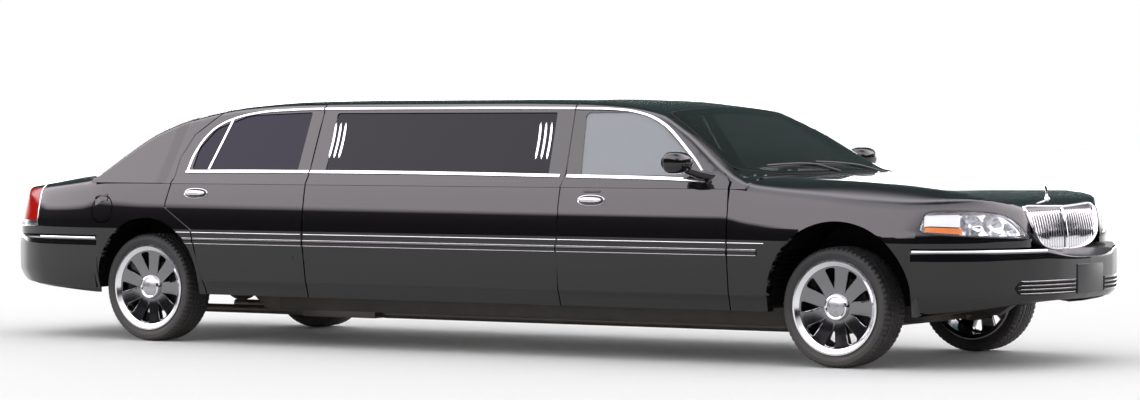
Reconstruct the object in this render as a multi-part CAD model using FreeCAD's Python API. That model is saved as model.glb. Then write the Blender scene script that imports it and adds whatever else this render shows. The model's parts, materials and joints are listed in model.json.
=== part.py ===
"""Stretch limousine: the model, in millimetres.

X points forward, Y to the car's left and Z up.  The origin is on the ground,
under the middle of the car.  Each piece is a separate solid in its own STEP
file in parts/.
"""
import FreeCAD, Part
import math
import os

V = FreeCAD.Vector

# ---------------------------------------------------------------- driving sizes
BASE_WHEELBASE = 2990.0     # the saloon that the car is stretched from
STRETCH = 1778.0            # length let in between the doors
FRONT_OVERHANG = 1085.0
REAR_OVERHANG = 1345.0
HALF_WIDTH = 990.0          # at the side mouldings
ROOF_Z = 1478.0
BELT_Z = 1030.0             # foot of the side windows
SILL_Z = 297.0              # lower edge of the sides
FLOOR_TOP = 322.0
TYRE_R = 326.5
TYRE_WIDTH = 225.0
RIM_R = 254.0
FRONT_WHEEL_Y = HALF_WIDTH - 202    # middle of the tyre
REAR_WHEEL_Y = HALF_WIDTH - 178
KINGPIN_Y = FRONT_WHEEL_Y - 128     # steering axis of each front wheel
SPOKES = 9
RAIL_Y = (HALF_WIDTH - 600, HALF_WIDTH - 520)   # inner and outer face of a frame rail
RAIL_MID = sum(RAIL_Y) / 2
CROSS_Z = (200.0, 240.0)            # cross members of the frame
SILL_TOP = 380.0
ENGINE_HALF = RAIL_Y[0] - 110
TRUNK_HALF = HALF_WIDTH - 300
GRILLE_HALF = HALF_WIDTH - 570
UPPER_ARM_Z = TYRE_R + 113.5        # underside of the upper suspension arm
LOWER_ARM_Z = (205.0, 230.0)
SEAT_Y, SEAT_HALF = HALF_WIDTH - 610, HALF_WIDTH / 2 - 245
COLUMN_Y, COLUMN_LONG = HALF_WIDTH - 610, 190.0

SIDE_WALL = 62.0            # thickness of a door or side below the belt
FRAME_WALL = 36.0           # and around its windows
ROOF_WALL = 28.0
SKIN_WALL = 30.0            # wings, lids and bumpers
DOOR_GAP = 7.5
LID_GAP = 12.0
SEAT_GAP = 0.5              # running fit at pins, pivots and ball joints
WELD_GAP = 0.5              # between pressed pieces that are welded together
GLASS = 5.0
GLASS_SINK = 6.0            # glass lies this far under the skin
SIDE_SLOPE = 0.651          # lean of the side windows, across per up

WHEELBASE = BASE_WHEELBASE + STRETCH
NOSE_X = (FRONT_OVERHANG + WHEELBASE + REAR_OVERHANG) / 2
FRONT = NOSE_X - FRONT_OVERHANG      # front hub
REAR = FRONT - WHEELBASE             # rear hub
TAIL_X = -NOSE_X
STEER_AXIS = V(-0.9, 0, 0.436).normalize()
COLUMN_FOOT = V(FRONT - 900, COLUMN_Y, 790)

# -------------------------------------------------------------------- helpers


def corner(before, here, after, radius):
    """Start, middle and end of the arc that rounds one corner of an outline."""
    a, b = (before - here).normalize(), (after - here).normalize()
    half = a.getAngle(b) / 2
    reach = radius / math.tan(half)
    middle = (a + b).normalize()
    centre = here + middle * (radius / math.sin(half))
    return here + a * reach, centre - middle * radius, here + b * reach


def wire(points, place):
    """Closed wire through (a, b) or (a, b, corner radius) points."""
    spots = [place(p[0], p[1]) for p in points]
    radii = [p[2] if len(p) > 2 else 0 for p in points]
    edges, ends = [], []
    for i, spot in enumerate(spots):
        if radii[i]:
            start, middle, end = corner(V(spots[i - 1]), V(spot),
                                        V(spots[(i + 1) % len(spots)]), radii[i])
            ends.append((start, end, Part.Arc(start, middle, end).toShape()))
        else:
            ends.append((spot, spot, None))
    for i, (start, end, arc) in enumerate(ends):
        if arc:
            edges.append(arc)
        following = ends[(i + 1) % len(ends)][0]
        if end.distanceToPoint(following) > 1e-6:
            edges.append(Part.LineSegment(end, following).toShape())
    return Part.Wire(edges)


def across(points, y_from, y_to):
    """Side-view outline (x, z) extruded across the car."""
    face = Part.Face(wire(points, lambda x, z: V(x, y_from, z)))
    return face.extrude(V(0, y_to - y_from, 0))


def upward(points, z_from, z_to):
    """Plan outline (x, y) extruded upward."""
    face = Part.Face(wire(points, lambda x, y: V(x, y, z_from)))
    return face.extrude(V(0, 0, z_to - z_from))


def along(points, x_from, x_to):
    """Cross-section outline (y, z) extruded along the car."""
    face = Part.Face(wire(points, lambda y, z: V(x_from, y, z)))
    return face.extrude(V(x_to - x_from, 0, 0))


def box(x0, x1, y0, y1, z0, z1):
    return Part.makeBox(x1 - x0, y1 - y0, z1 - z0, V(x0, y0, z0))


def both_sides(x0, x1, y0, y1, z0, z1):
    """The same box on the right and on the left."""
    right = box(x0, x1, -y1, -y0, z0, z1)
    return right.fuse(box(x0, x1, y0, y1, z0, z1))


def rod(start, end, radius):
    axis = end - start
    return Part.makeCylinder(radius, axis.Length, start, axis)


def mirror(shape):
    return shape.mirror(V(0, 0, 0), V(0, 1, 0))


def fuse(shapes):
    whole = shapes[0]
    for shape in shapes[1:]:
        whole = whole.fuse(shape)
    return whole.removeSplitter()


def save(name, shapes):
    """Write the solids of one node."""
    solids = [solid for shape in shapes for solid in shape.Solids]
    Part.makeCompound(solids).exportStep("parts/%s.step" % name)
    print(name, len(solids), [round(s.Volume / 1e6, 2) for s in solids])


# --------------------------------------------------------------- body surfaces
# Side of the body below the belt: inset from HALF_WIDTH, height.
SIDE = [(35, SILL_Z), (15, SILL_Z + 87), (0, 635), (10, 850)]

# Upper edge of the body, front to back: x, middle height, shoulder (y, z),
# edge (y, z).  The shoulder and edge insets are taken from HALF_WIDTH.
LOWER = [
    # x, z middle, shoulder inset, shoulder z, edge inset, edge z
    (FRONT + 960, 832, 370, 828, 190, 780),
    (FRONT + 812, 904, 320, 898, 165, 842),
    (FRONT + 530, 960, 290, 955, 140, 903),
    (FRONT, 1012, 255, 1003, 90, 940),
    (FRONT - 500, 1034, 215, 1020, 65, 975),
    (FRONT - 640, BELT_Z, 130, BELT_Z, 58, 1000),
    (REAR - 300, BELT_Z, 130, BELT_Z, 62, 1000),
    (REAR - 480, 1022, 250, 1016, 92, 975),
    (REAR - 890, 972, 290, 966, 120, 925),
    (REAR - 1260, 918, 330, 912, 140, 868),
]

# Greenhouse, front to back: x, roof height in the middle, height of its edge.
GREENHOUSE = [
    (FRONT - 520, 1026, 990),
    (FRONT - 650, 1092, 1034),
    (FRONT - 1067, 1322, 1284),
    (FRONT - 1270, 1410, 1374),
    (FRONT - 1480, 1448, 1407),
    (FRONT - 1800, 1471, 1425),
    (FRONT - 2300, ROOF_Z, 1432),
    (REAR + 1500, ROOF_Z, 1432),
    (REAR + 960, 1472, 1427),
    (REAR + 580, 1450, 1408),
    (REAR + 214, 1384, 1348),
    (REAR - 28, 1298, 1262),
    (REAR - 396, 1028, 990),
]

# Plan of the body without its bumpers, right half: x, inset from HALF_WIDTH.
PLAN = [(FRONT + 941, HALF_WIDTH), (FRONT + 936, 560), (FRONT + 886, 390),
        (FRONT + 786, 230), (FRONT + 586, 85), (FRONT + 386, 30), (FRONT, 0),
        (REAR, 0), (REAR - 400, 10), (REAR - 800, 50), (REAR - 1030, 120),
        (REAR - 1150, 230), (REAR - 1221, 400), (REAR - 1246, HALF_WIDTH)]


def window_plane(z, inset=0.0):
    """Half width of the side windows' plane at a height."""
    lean = math.sqrt(1 + SIDE_SLOPE ** 2)
    return HALF_WIDTH - 85 - SIDE_SLOPE * (z - BELT_Z) - inset * lean


def section_solid(sections):
    """Ruled solid through half sections, each an x and its (y, z) points."""
    wires = []
    for x, points in sections:
        full = [(-y, z) for y, z in points] + [(y, z) for y, z in reversed(points) if y]
        wires.append(wire(full, lambda y, z: V(x, y, z)))
    return Part.makeLoft(wires, True, True)


def lower_body(wall=0.0, top=0.0):
    """Outer body below the belt, or the hollow inside it."""
    sections = []
    for x, z_mid, in_shoulder, z_shoulder, in_edge, z_edge in LOWER:
        points = [(0, z_mid - top), (HALF_WIDTH - in_shoulder - wall * 0.4, z_shoulder - top),
                  (HALF_WIDTH - in_edge - wall, z_edge - top)]
        points += [(HALF_WIDTH - inset - wall, z) for inset, z in reversed(SIDE)]
        sections.append((x, points))
    return section_solid(sections)


def greenhouse(wall=0.0, top=0.0, foot=960.0):
    """Outer greenhouse, or the hollow inside it."""
    sections = []
    for x, z_mid, z_edge in GREENHOUSE:
        mid, edge = z_mid - top, z_edge - top
        half = window_plane(edge, wall)
        points = [(0, mid), (0.55 * half, mid - 0.25 * (mid - edge)), (half, edge),
                  (window_plane(foot, wall), foot)]
        sections.append((x, points))
    return section_solid(sections)


def plan_outline(inset=0.0):
    """Right half of the plan as (x, y), from nose to tail, moved inward."""
    points = []
    for x, side in PLAN:
        y = max(0.0, HALF_WIDTH - side - inset)
        points.append((x - math.copysign(inset, x), -y))
    return points


def plan_block(inset=0.0):
    right = plan_outline(inset)
    left = [(x, -y) for x, y in reversed(right[1:-1])]
    return upward(right + left, 200, 1200)


def body_shell():
    """Outer body, and the same body as a shell with hollow ends and cabin."""
    outer = lower_body().common(plan_block()).fuse(greenhouse()).removeSplitter()
    ends = lower_body(SIDE_WALL, SKIN_WALL).common(plan_block(SIDE_WALL))
    depths = box(TAIL_X, NOSE_X, -HALF_WIDTH, HALF_WIDTH, 200, 990)
    cabin = greenhouse(FRAME_WALL, ROOF_WALL)
    shell = outer.cut(ends.common(depths)).cut(ends).cut(cabin)
    return outer, shell


# ------------------------------------------------------------------- outlines
SEAM_TOP = 1425.0           # upper edge of the doors
FRONT_DOOR_X = (FRONT - 1727, FRONT - 620)
REAR_DOOR_X = (REAR + 244, REAR + 1256)
REAR_SHEAR = 0.45           # draft of each door's rear edge, so that it swings clear
FRONT_HINGE_X = FRONT_DOOR_X[1] - 90
REAR_HINGE_X = REAR_DOOR_X[1] - 90
HINGE_Y = HALF_WIDTH - 21
HINGE_HEIGHTS = (530.0, 770.0)
FRONT_ARCH = (FRONT + 55, TYRE_R + 37.5, TYRE_R + 105.5)    # x, z, radius
REAR_ARCH = (REAR + 41, TYRE_R + 30.5, TYRE_R + 67.5)
FRONT_ARCH_END = FRONT_ARCH[0] + FRONT_ARCH[2]
REAR_ARCH_ENDS = (REAR_ARCH[0] - REAR_ARCH[2], REAR_ARCH[0] + REAR_ARCH[2])

# Door outlines: x, z, inset of the skin there, and whether the edge is drafted.
FRONT_DOOR = [
    (FRONT_DOOR_X[0], 200, 35, True), (FRONT_DOOR_X[0], 815, 10, True),
    (FRONT_DOOR_X[0] + 5, BELT_Z, 85, True), (FRONT_DOOR_X[0] - 90, SEAM_TOP, 342, True),
    (FRONT - 1345, SEAM_TOP, 342, False), (FRONT - 690, 1052, 100, False),
    (FRONT - 632, 1000, 65, False), (FRONT_DOOR_X[1], 850, 10, False),
    (FRONT_DOOR_X[1] + 8, 200, 35, False),
]
REAR_DOOR = [
    (REAR_ARCH_ENDS[1] + 51, 200, 35, True), (REAR_ARCH_ENDS[1] + 51, 330, 25, True),
    (REAR_ARCH_ENDS[1] - 43, REAR_ARCH[1] + 333, 2, True),
    (REAR + 186, REAR_ARCH[1] + REAR_ARCH[2] + 69, 10, True),
    (REAR + 226, 1000, 65, True), (REAR + 212, 1110, 140, True),
    (REAR + 249, 1251, 222, True), (REAR + 450, SEAM_TOP, 342, True),
    (REAR_DOOR_X[1] - 93, SEAM_TOP, 342, False), (REAR_DOOR_X[1] - 24, BELT_Z, 85, False),
    (REAR_DOOR_X[1] - 18, 640, 2, False), (REAR_DOOR_X[1] + 6, 200, 35, False),
]
# Side windows: x, z and corner radius.
FRONT_GLASS = [(FRONT - 1620, 1030, 8), (FRONT - 1730, 1380, 25), (FRONT - 1352, 1380, 60),
               (FRONT - 1180, 1300, 200), (FRONT - 790, 1030, 30)]
EXTENSION_GLASS = [(REAR + 1345, 1040, 10), (REAR + 1274, 1380, 12),
                   (FRONT - 1925, 1380, 12), (FRONT - 1838, 1032, 10)]
REAR_GLASS = [(REAR + 335, 1040, 20), (REAR + 325, 1170, 60), (REAR + 400, 1290, 120),
              (REAR + 620, 1370, 200), (REAR + 1085, 1385, 15), (REAR + 1140, 1040, 8)]
# Plan outlines, right half: x, |y| and corner radius.
WINDSCREEN = [(FRONT - 505, 0), (FRONT - 560, HALF_WIDTH - 490, 300),
              (FRONT - 680, HALF_WIDTH - 175, 30), (FRONT - 1225, HALF_WIDTH - 405, 60),
              (FRONT - 1235, 0)]
BACKLIGHT = [(REAR - 385, 0), (REAR - 365, HALF_WIDTH - 590, 200),
             (REAR - 320, HALF_WIDTH - 290, 50), (REAR + 150, HALF_WIDTH - 420, 60),
             (REAR + 160, 0)]
HOOD = [(FRONT - 488, 0), (FRONT - 488, HALF_WIDTH - 240), (FRONT + 530, HALF_WIDTH - 285, 600),
        (FRONT + 860, HALF_WIDTH - 400, 120), (FRONT + 905, HALF_WIDTH - 610, 200),
        (FRONT + 912, 0)]
TRUNK = [(REAR - 430, 0), (REAR - 430, TRUNK_HALF, 60), (REAR - 1280, TRUNK_HALF),
         (REAR - 1280, 0)]


def symmetric(points):
    """Plan outline completed from its right half, which starts and ends on the middle."""
    right = [(p[0], -p[1]) + tuple(p[2:]) for p in points]
    left = [(p[0], -p[1]) + tuple(p[2:]) for p in reversed(right[1:-1])]
    return right + left


def door_block(outline, gap=0.0):
    """Right-hand door's block between two side-view outlines, grown by a gap."""
    wires = []
    for y in (HALF_WIDTH + 20, HALF_WIDTH - 430):
        points = []
        for x, z, inset, drafted in outline:
            depth = HALF_WIDTH - inset - y
            points.append((x + REAR_SHEAR * depth if drafted else x, z))
        flat = wire(points, lambda a, b: V(a, 0, b))
        if gap:
            flat = flat.makeOffset2D(gap, 2)
        flat.translate(V(0, -y, 0))
        wires.append(flat)
    return Part.makeLoft(wires, True, True)


def arch(place, extra=0.0, y_in=None, y_out=None):
    """Right-hand wheel arch opening, round above and straight below its centre."""
    x, z, radius = place
    near = HALF_WIDTH - 430 if y_in is None else y_in
    far = HALF_WIDTH + 30 if y_out is None else y_out
    radius += extra
    disc = Part.makeCylinder(radius, far - near, V(x, -far, z), V(0, 1, 0))
    return disc.fuse(box(x - radius, x + radius, -far, -near, 100, z))


def side_glass(outline):
    """Right-hand pane, flush in the hole that the same outline cuts."""
    pane = along([(-window_plane(900, GLASS_SINK), 900),
                  (-window_plane(SEAM_TOP, GLASS_SINK), SEAM_TOP),
                  (-window_plane(SEAM_TOP, GLASS_SINK + GLASS), SEAM_TOP),
                  (-window_plane(900, GLASS_SINK + GLASS), 900)], TAIL_X, NOSE_X)
    return pane.common(window_hole(outline))


def window_hole(outline):
    return across(outline, -HALF_WIDTH, 540 - HALF_WIDTH)


# ---------------------------------------------------------------- body panels


def hinge_pocket(x, z):
    """Pocket in a right-hand door for one hinge arm, open to the leading edge."""
    return box(x - 14, x + 120, -HINGE_Y - 10.5, -HALF_WIDTH + 150, z - 20, z + 20)


def hinge_arm(x, z, root):
    """Right-hand hinge arm with the eye that turns on the door's pin."""
    arm = box(x - 9.5, x + 9.5, -HINGE_Y, -root, z - 12, z + 12)
    eye = Part.makeCylinder(9.5, 24, V(x, -HINGE_Y, z - 12))
    bore = Part.makeCylinder(6 + SEAT_GAP, 24, V(x, -HINGE_Y, z - 12))
    return arm.fuse(eye).cut(bore)


def door(shell, outline, glass, hinge_x):
    """Right-hand door with its window hole, hinge pockets and pins."""
    panel = shell.common(door_block(outline, -DOOR_GAP / 2))
    panel = panel.cut(window_hole(glass))
    for z in HINGE_HEIGHTS:
        panel = panel.cut(hinge_pocket(hinge_x, z))
        panel = panel.fuse(Part.makeCylinder(6, 40, V(hinge_x, -HINGE_Y, z - 20)))
    return panel.removeSplitter()


def swing_room(hinge_x):
    """Space inboard of a right-hand door's leading edge, swept as it opens."""
    return box(hinge_x - 30, hinge_x + 92, -HALF_WIDTH, -HALF_WIDTH + 140, SILL_Z - 60, 1000)


def largest(shape):
    return max(shape.Solids, key=lambda solid: solid.Volume)


SEAM = DOOR_GAP / 2
SKY = ROOF_Z + 100
PILLAR_SPLIT = 1250.0       # rear pillars join the roof panel at this height
COWL_TOP = 1005.0
FRONT_BUMPER_TOP = 652.0
REAR_BUMPER_TOP = 640.0
LAMP = (690.0, 838.0)       # headlamp bottom and top
TAIL_LAMP = (684.0, 950.0)
LAMP_DEPTH = 90.0


def fixed_panels(shell):
    """Body panels that don't move, split where they meet, right-hand ones first."""
    front_block = door_block(FRONT_DOOR, SEAM)
    rear_block = door_block(REAR_DOOR, SEAM + 1.5)
    hood_hole = upward(symmetric(HOOD), 700, SKY)
    trunk_hole = upward(symmetric(TRUNK), TAIL_LAMP[0], SKY)
    screens = upward(symmetric(WINDSCREEN), 1032, SKY).fuse(
        upward(symmetric(BACKLIGHT), 1030, SKY))

    between = box(REAR_DOOR_X[0] + 500, FRONT_DOOR_X[0] + 300,
                  -HALF_WIDTH, 430 - HALF_WIDTH, 0, SEAM_TOP)
    extension = shell.common(between).cut(front_block).cut(rear_block)
    extension = extension.cut(window_hole(EXTENSION_GLASS)).fuse(rear_door_post())
    extension = extension.removeSplitter()

    ahead = box(FRONT_DOOR_X[1] - 60, NOSE_X, -HALF_WIDTH, -GRILLE_HALF, 0, COWL_TOP + 60)
    ahead = ahead.cut(box(TAIL_X, FRONT - 495, -HALF_WIDTH, 0, COWL_TOP, SKY))
    ahead = ahead.cut(box(TAIL_X, FRONT - 488, 220 - HALF_WIDTH, 0, 0, SKY))
    ahead = ahead.cut(box(FRONT_ARCH_END, NOSE_X, -HALF_WIDTH, 0, 0, FRONT_BUMPER_TOP))
    lamp_hole = box(FRONT + 536, NOSE_X, -HALF_WIDTH, 0, *LAMP)
    wing = shell.common(ahead).cut(front_block).cut(hood_hole).cut(lamp_hole)
    wing = largest(wing.cut(arch(FRONT_ARCH))).cut(swing_room(FRONT_HINGE_X))
    wing = largest(wing)

    behind = box(TAIL_X, REAR_DOOR_X[0] + 400, -HALF_WIDTH, -300, 0, PILLAR_SPLIT)
    behind = behind.cut(box(TAIL_X, REAR_ARCH_ENDS[0], -HALF_WIDTH, 0, 0, REAR_BUMPER_TOP))
    behind = behind.cut(box(TAIL_X, REAR - 1000, -TRUNK_HALF, 0, 0, SKY))
    tail_hole = box(TAIL_X, REAR - 880, -HALF_WIDTH, 0, *TAIL_LAMP)
    quarter = shell.common(behind).cut(rear_block).cut(trunk_hole).cut(screens).cut(tail_hole)
    quarter = largest(quarter.cut(arch(REAR_ARCH)))

    roof = shell.common(box(TAIL_X, FRONT - 520, -HALF_WIDTH, HALF_WIDTH, COWL_TOP, SKY))
    low = box(TAIL_X, FRONT - 1345, -HALF_WIDTH, HALF_WIDTH, 0, PILLAR_SPLIT)
    roof = roof.cut(low).cut(screens)
    for block in (front_block, rear_block, between):
        roof = roof.cut(block).cut(mirror(block))
    roof = largest(roof)
    return extension, wing, quarter, roof


def panel_and_frame(extension):
    """Lower panel and window frame of the extension, welded behind the belt moulding."""
    seam = BELT_Z - 8
    return [largest(extension.common(box(TAIL_X, NOSE_X, -HALF_WIDTH, 0, low, high)))
            for low, high in ((0, seam), (seam + WELD_GAP, SKY))]


def rear_door_post():
    """Post that carries the right rear door's hinges, on the extension's end."""
    x_end = REAR_DOOR_X[1] - 6
    post = upward([(REAR_HINGE_X - 30, -HALF_WIDTH + 200), (x_end + 70, -HALF_WIDTH + 200),
                   (x_end + 70, -HALF_WIDTH + 50), (x_end + 10, -HALF_WIDTH + 50),
                   (x_end + 10, -HALF_WIDTH + 142), (REAR_HINGE_X - 30, -HALF_WIDTH + 142)],
                  SILL_TOP, 990)
    arms = [hinge_arm(REAR_HINGE_X, z, HALF_WIDTH - 150) for z in HINGE_HEIGHTS]
    return fuse([post] + arms)


def wheelhouse(place, y_in, top):
    """Right-hand inner arch of thin sheet, closed on its inner side."""
    x, z, radius = place
    sheet = 6.0
    y_out = HALF_WIDTH - SIDE_WALL
    room = Part.makeCylinder(radius + 30, y_out - y_in, V(x, -y_out, z), V(0, 1, 0))
    room = room.fuse(box(x - radius - 30, x + radius + 30, -y_out, -y_in, FLOOR_TOP, z))
    skin = Part.makeCylinder(radius + 30 + sheet, y_out - y_in + sheet,
                             V(x, -y_out, z), V(0, 1, 0))
    skin = skin.fuse(box(x - radius - 36, x + radius + 36, -y_out, -y_in + sheet, FLOOR_TOP, z))
    return skin.cut(room).common(box(x - 900, x + 900, -y_out, 0, FLOOR_TOP, top))


LUG_Y = HALF_WIDTH - 470
LUG_R = 9.0
LUG_PIN = 4.0
LID_HINGE_BACK = 140.0      # each lid turns this far from its edge
HOOD_HINGE = (FRONT - 476 + LID_HINGE_BACK, 976.0)
TRUNK_HINGE = (REAR - 442 - LID_HINGE_BACK, 964.0)


def lids(shell, lamp):
    """Hood and boot lid with their hinge lugs."""
    block = upward(symmetric(shrunk(HOOD, 1)), 700, SKY)
    hood = shell.common(block).cut(greenhouse()).cut(lamp).cut(mirror(lamp))
    hood = hood.cut(box(FRONT + 780, NOSE_X, -HALF_WIDTH, HALF_WIDTH, 0, LAMP[1] + 4))
    block = upward(symmetric(shrunk(TRUNK, -1)), TAIL_LAMP[0] + 6, SKY)
    trunk = shell.common(block).cut(greenhouse())
    return [largest(with_lugs(largest(lid), *place))
            for lid, place in ((hood, HOOD_HINGE), (trunk, TRUNK_HINGE))]


def shrunk(points, hinge_side, gap=6.0):
    """Lid outline inside its hole, with more room at the hinge side."""
    middle = (points[0][0] + points[-1][0]) / 2
    moved = []
    for p in points:
        side = 1 if p[0] < middle else -1
        room = LID_GAP if side == hinge_side else gap
        moved.append((p[0] + side * room, p[1] - gap if p[1] else 0) + tuple(p[2:]))
    return moved


def with_lugs(lid, x, z):
    """A lid with two lugs and their pins underneath."""
    for y in (-LUG_Y, LUG_Y):
        lug = across([(x - LUG_R, z - LUG_R, 5), (x + LUG_R, z - LUG_R, 5),
                      (x + LUG_R, z + 26), (x - LUG_R, z + 26)], y - 5, y + 5)
        lid = lid.fuse(lug).fuse(rod(V(x, y - 18, z), V(x, y + 18, z), LUG_PIN))
    return lid


def lid_arm(x, z, foot, drop, reach):
    """Body-side hinge arms: an eye on each pin, a post down and a run to a foot."""
    pieces = []
    for y in (-LUG_Y - 11.5, LUG_Y + 11.5):
        low = z - drop
        side = [(x - 9, z), (x - 9, low), (x + 9, low), (x + 9, z)]
        post = across(side, y - 5, y + 5).fuse(rod(V(x, y - 5, z), V(x, y + 5, z), LUG_R))
        post = post.cut(rod(V(x, y - 5, z), V(x, y + 5, z), LUG_PIN + SEAT_GAP))
        low_run = box(min(x - 9, foot), max(x + 9, foot), y - 5, y + 5, low - 18, low)
        pieces += [post, low_run]
        if reach:
            pieces.append(box(foot - 18, foot, y - 5, y + 5, low - 18, reach))
    return pieces


# ------------------------------------------------------------------- bumpers
BUMPER_WALL = 50.0
PLATE_BOLTS = 177.8         # between the two number-plate bolts
PLATE_HOLE_R = 3.5
PLATE_Z = 540.0
# Plans of the bumpers: x and inset from HALF_WIDTH.
FRONT_BUMPER = [(NOSE_X, HALF_WIDTH), (NOSE_X - 19, 0.697 * HALF_WIDTH), (NOSE_X - 79, 490),
                (NOSE_X - 135, 390), (NOSE_X - 219, 270), (NOSE_X - 379, 140),
                (FRONT_ARCH_END + 73, 65),
                (FRONT_ARCH_END + 4, 42)]
REAR_BUMPER = [(TAIL_X, HALF_WIDTH), (TAIL_X + 39, 490), (TAIL_X + 124, 290), (TAIL_X + 229, 190),
               (TAIL_X + 349, 110), (TAIL_X + 499, 60), (TAIL_X + 750, 30),
               (REAR_ARCH_ENDS[0] - 4, 15)]


def bumper(plan, top, chin, shelf, place):
    """Bumper cover wrapped round one end of the car."""
    sign = math.copysign(1, plan[0][0])
    plan = [(x, HALF_WIDTH - inset) for x, inset in plan]

    def inside(wall):
        side = [(x - sign * wall, max(0, y - wall)) for x, y in plan[:-1]]
        side.append((plan[-1][0], plan[-1][1] - wall))
        return [(x, -y) for x, y in side] + [(x, y) for x, y in reversed(side[1:])]
    outer = [(x, -y) for x, y in plan] + [(x, y) for x, y in reversed(plan[1:])]
    solid = upward(outer, SILL_Z - 7, top)
    solid = solid.cut(upward(inside(BUMPER_WALL), 0, top - 20))
    solid = solid.cut(upward(inside(shelf), top - 30, top + 5))
    house = arch(place, 37, HALF_WIDTH - 590, HALF_WIDTH - SIDE_WALL + WELD_GAP)
    solid = solid.cut(house).cut(mirror(house))
    end = plan[0][0]
    slope = across([(end + sign * 5, chin), (end - sign * 55, SILL_Z - 20),
                    (end + sign * 5, SILL_Z - 20)], -HALF_WIDTH, HALF_WIDTH)
    for y in (-PLATE_BOLTS / 2, PLATE_BOLTS / 2):
        solid = solid.cut(rod(V(end - sign * 80, y, PLATE_Z), V(end + sign * 5, y, PLATE_Z),
                              PLATE_HOLE_R))
    return solid.cut(slope)


# ------------------------------------------------------- structure underneath


def chassis_frame():
    """Ladder frame with kick-ups over the axles and the radiator support."""
    low, high = 190.0, SILL_Z
    side = [(NOSE_X - 130, 410), (FRONT + 380, 390, 80), (FRONT + 300, 330, 80),
            (FRONT - 350, 330, 80), (FRONT - 500, high, 80), (REAR + 620, high, 80),
            (REAR + 330, 530, 100), (REAR - 330, 530, 100), (REAR - 520, 490, 80),
            (TAIL_X + 130, 490), (TAIL_X + 130, 400), (REAR - 480, 400, 80),
            (REAR - 300, 430, 80), (REAR + 290, 430, 100), (REAR + 560, low, 80),
            (FRONT - 540, low, 80), (FRONT - 400, 230, 80), (FRONT + 320, 230, 80),
            (FRONT + 420, 300, 80), (NOSE_X - 130, 365)]
    pieces = []
    for sign in (-1, 1):
        pieces.append(across(side, sign * RAIL_Y[0], sign * RAIL_Y[1]))
    spans = [FRONT - 700, FRONT - 1500, FRONT - 2300, REAR + 1400, REAR + 640]
    bracket = (RAIL_Y[0] - 10, RAIL_Y[1] + 10)
    for x in spans:
        pieces.append(box(x - 40, x + 40, -RAIL_Y[0], RAIL_Y[0], *CROSS_Z))
    pieces.append(box(FRONT - 90, FRONT + 90, -RAIL_Y[0], RAIL_Y[0], 236, 300))
    pieces.append(box(REAR - 560, REAR - 500, -RAIL_Y[0], RAIL_Y[0], 410, 480))
    pieces.append(box(FRONT + 780, FRONT + 805, -RAIL_Y[1] - 10, RAIL_Y[1] + 10, 345, 800))
    pieces.append(both_sides(NOSE_X - 140, NOSE_X - 55, *bracket, 372, 560))
    pieces.append(both_sides(TAIL_X + 55, TAIL_X + 140, *bracket, 400, 560))
    return fuse(pieces)


def frame_lengths(frame):
    """Front, middle and rear lengths of the frame, apart by the weld's gap."""
    ends = [TAIL_X, REAR + 660, FRONT - 560, NOSE_X]
    return [largest(frame.common(box(x0 + WELD_GAP, x1, -HALF_WIDTH, HALF_WIDTH, 0, SKY)))
            for x0, x1 in zip(ends, ends[1:])]


def floor_pan(shell):
    """Cabin floor, sills, tunnel, seat ramp with boot floor, and rear bulkhead."""
    half = HALF_WIDTH - 150
    floor_z = SILL_Z
    cabin_front = FRONT - 560
    cabin_back = REAR_DOOR_X[1] - 620
    ramp = REAR + 640
    sheet = FLOOR_TOP - SILL_Z
    narrow = HALF_WIDTH - 400
    plate = box(ramp + WELD_GAP, cabin_front, -narrow, narrow, floor_z, FLOOR_TOP)
    plate = plate.fuse(both_sides(cabin_back, cabin_front, narrow, half, floor_z, FLOOR_TOP))
    sill_foot = FLOOR_TOP + WELD_GAP
    sills = both_sides(cabin_back, cabin_front, half - 60, half, sill_foot, SILL_TOP)
    tunnel = across([(cabin_front, 540), (cabin_front - 700, sill_foot + 20),
                     (cabin_front - 700, sill_foot), (cabin_front, sill_foot)], -200, 200)
    tunnel_hole = across([(cabin_front, 515), (cabin_front - 690, FLOOR_TOP - 5),
                          (cabin_front - 690, 200), (cabin_front, 200)], -175, 175)
    profile = [(ramp, floor_z), (ramp, FLOOR_TOP), (REAR + 350, 560), (TAIL_X + 150, 560),
               (TAIL_X + 150, 560 - sheet), (REAR + 350, 560 - sheet)]
    boot = across(profile, -narrow, narrow)
    foot = 560 + WELD_GAP
    bulkhead = box(REAR + 170, REAR + 200, -narrow, narrow, foot, 940)
    shelf = box(REAR - 330, REAR + 200, -narrow, narrow, 920, 945)
    back = box(TAIL_X + 150, TAIL_X + 175, -narrow, narrow, foot, 690)
    panel = shell.common(box(TAIL_X, REAR - 1100, -TRUNK_HALF, TRUNK_HALF,
                             REAR_BUMPER_TOP, TAIL_LAMP[0]))
    deck = shell.common(box(REAR - 430, REAR - 380, -300, 300, 900, 1100)).cut(greenhouse())
    riser = box(REAR - 424, REAR - 400, -300, 300, 920, 998)
    ledge = box(REAR - 424, REAR - 330, -300, 300, 920, 945)
    arms = lid_arm(*TRUNK_HINGE, REAR - 330, 140, 925)
    parcel = fuse([bulkhead, shelf, deck, riser, ledge] + arms)
    return [plate.cut(tunnel_hole), sills, tunnel.cut(tunnel_hole), boot, parcel,
            back.fuse(panel).removeSplitter()]


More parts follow.
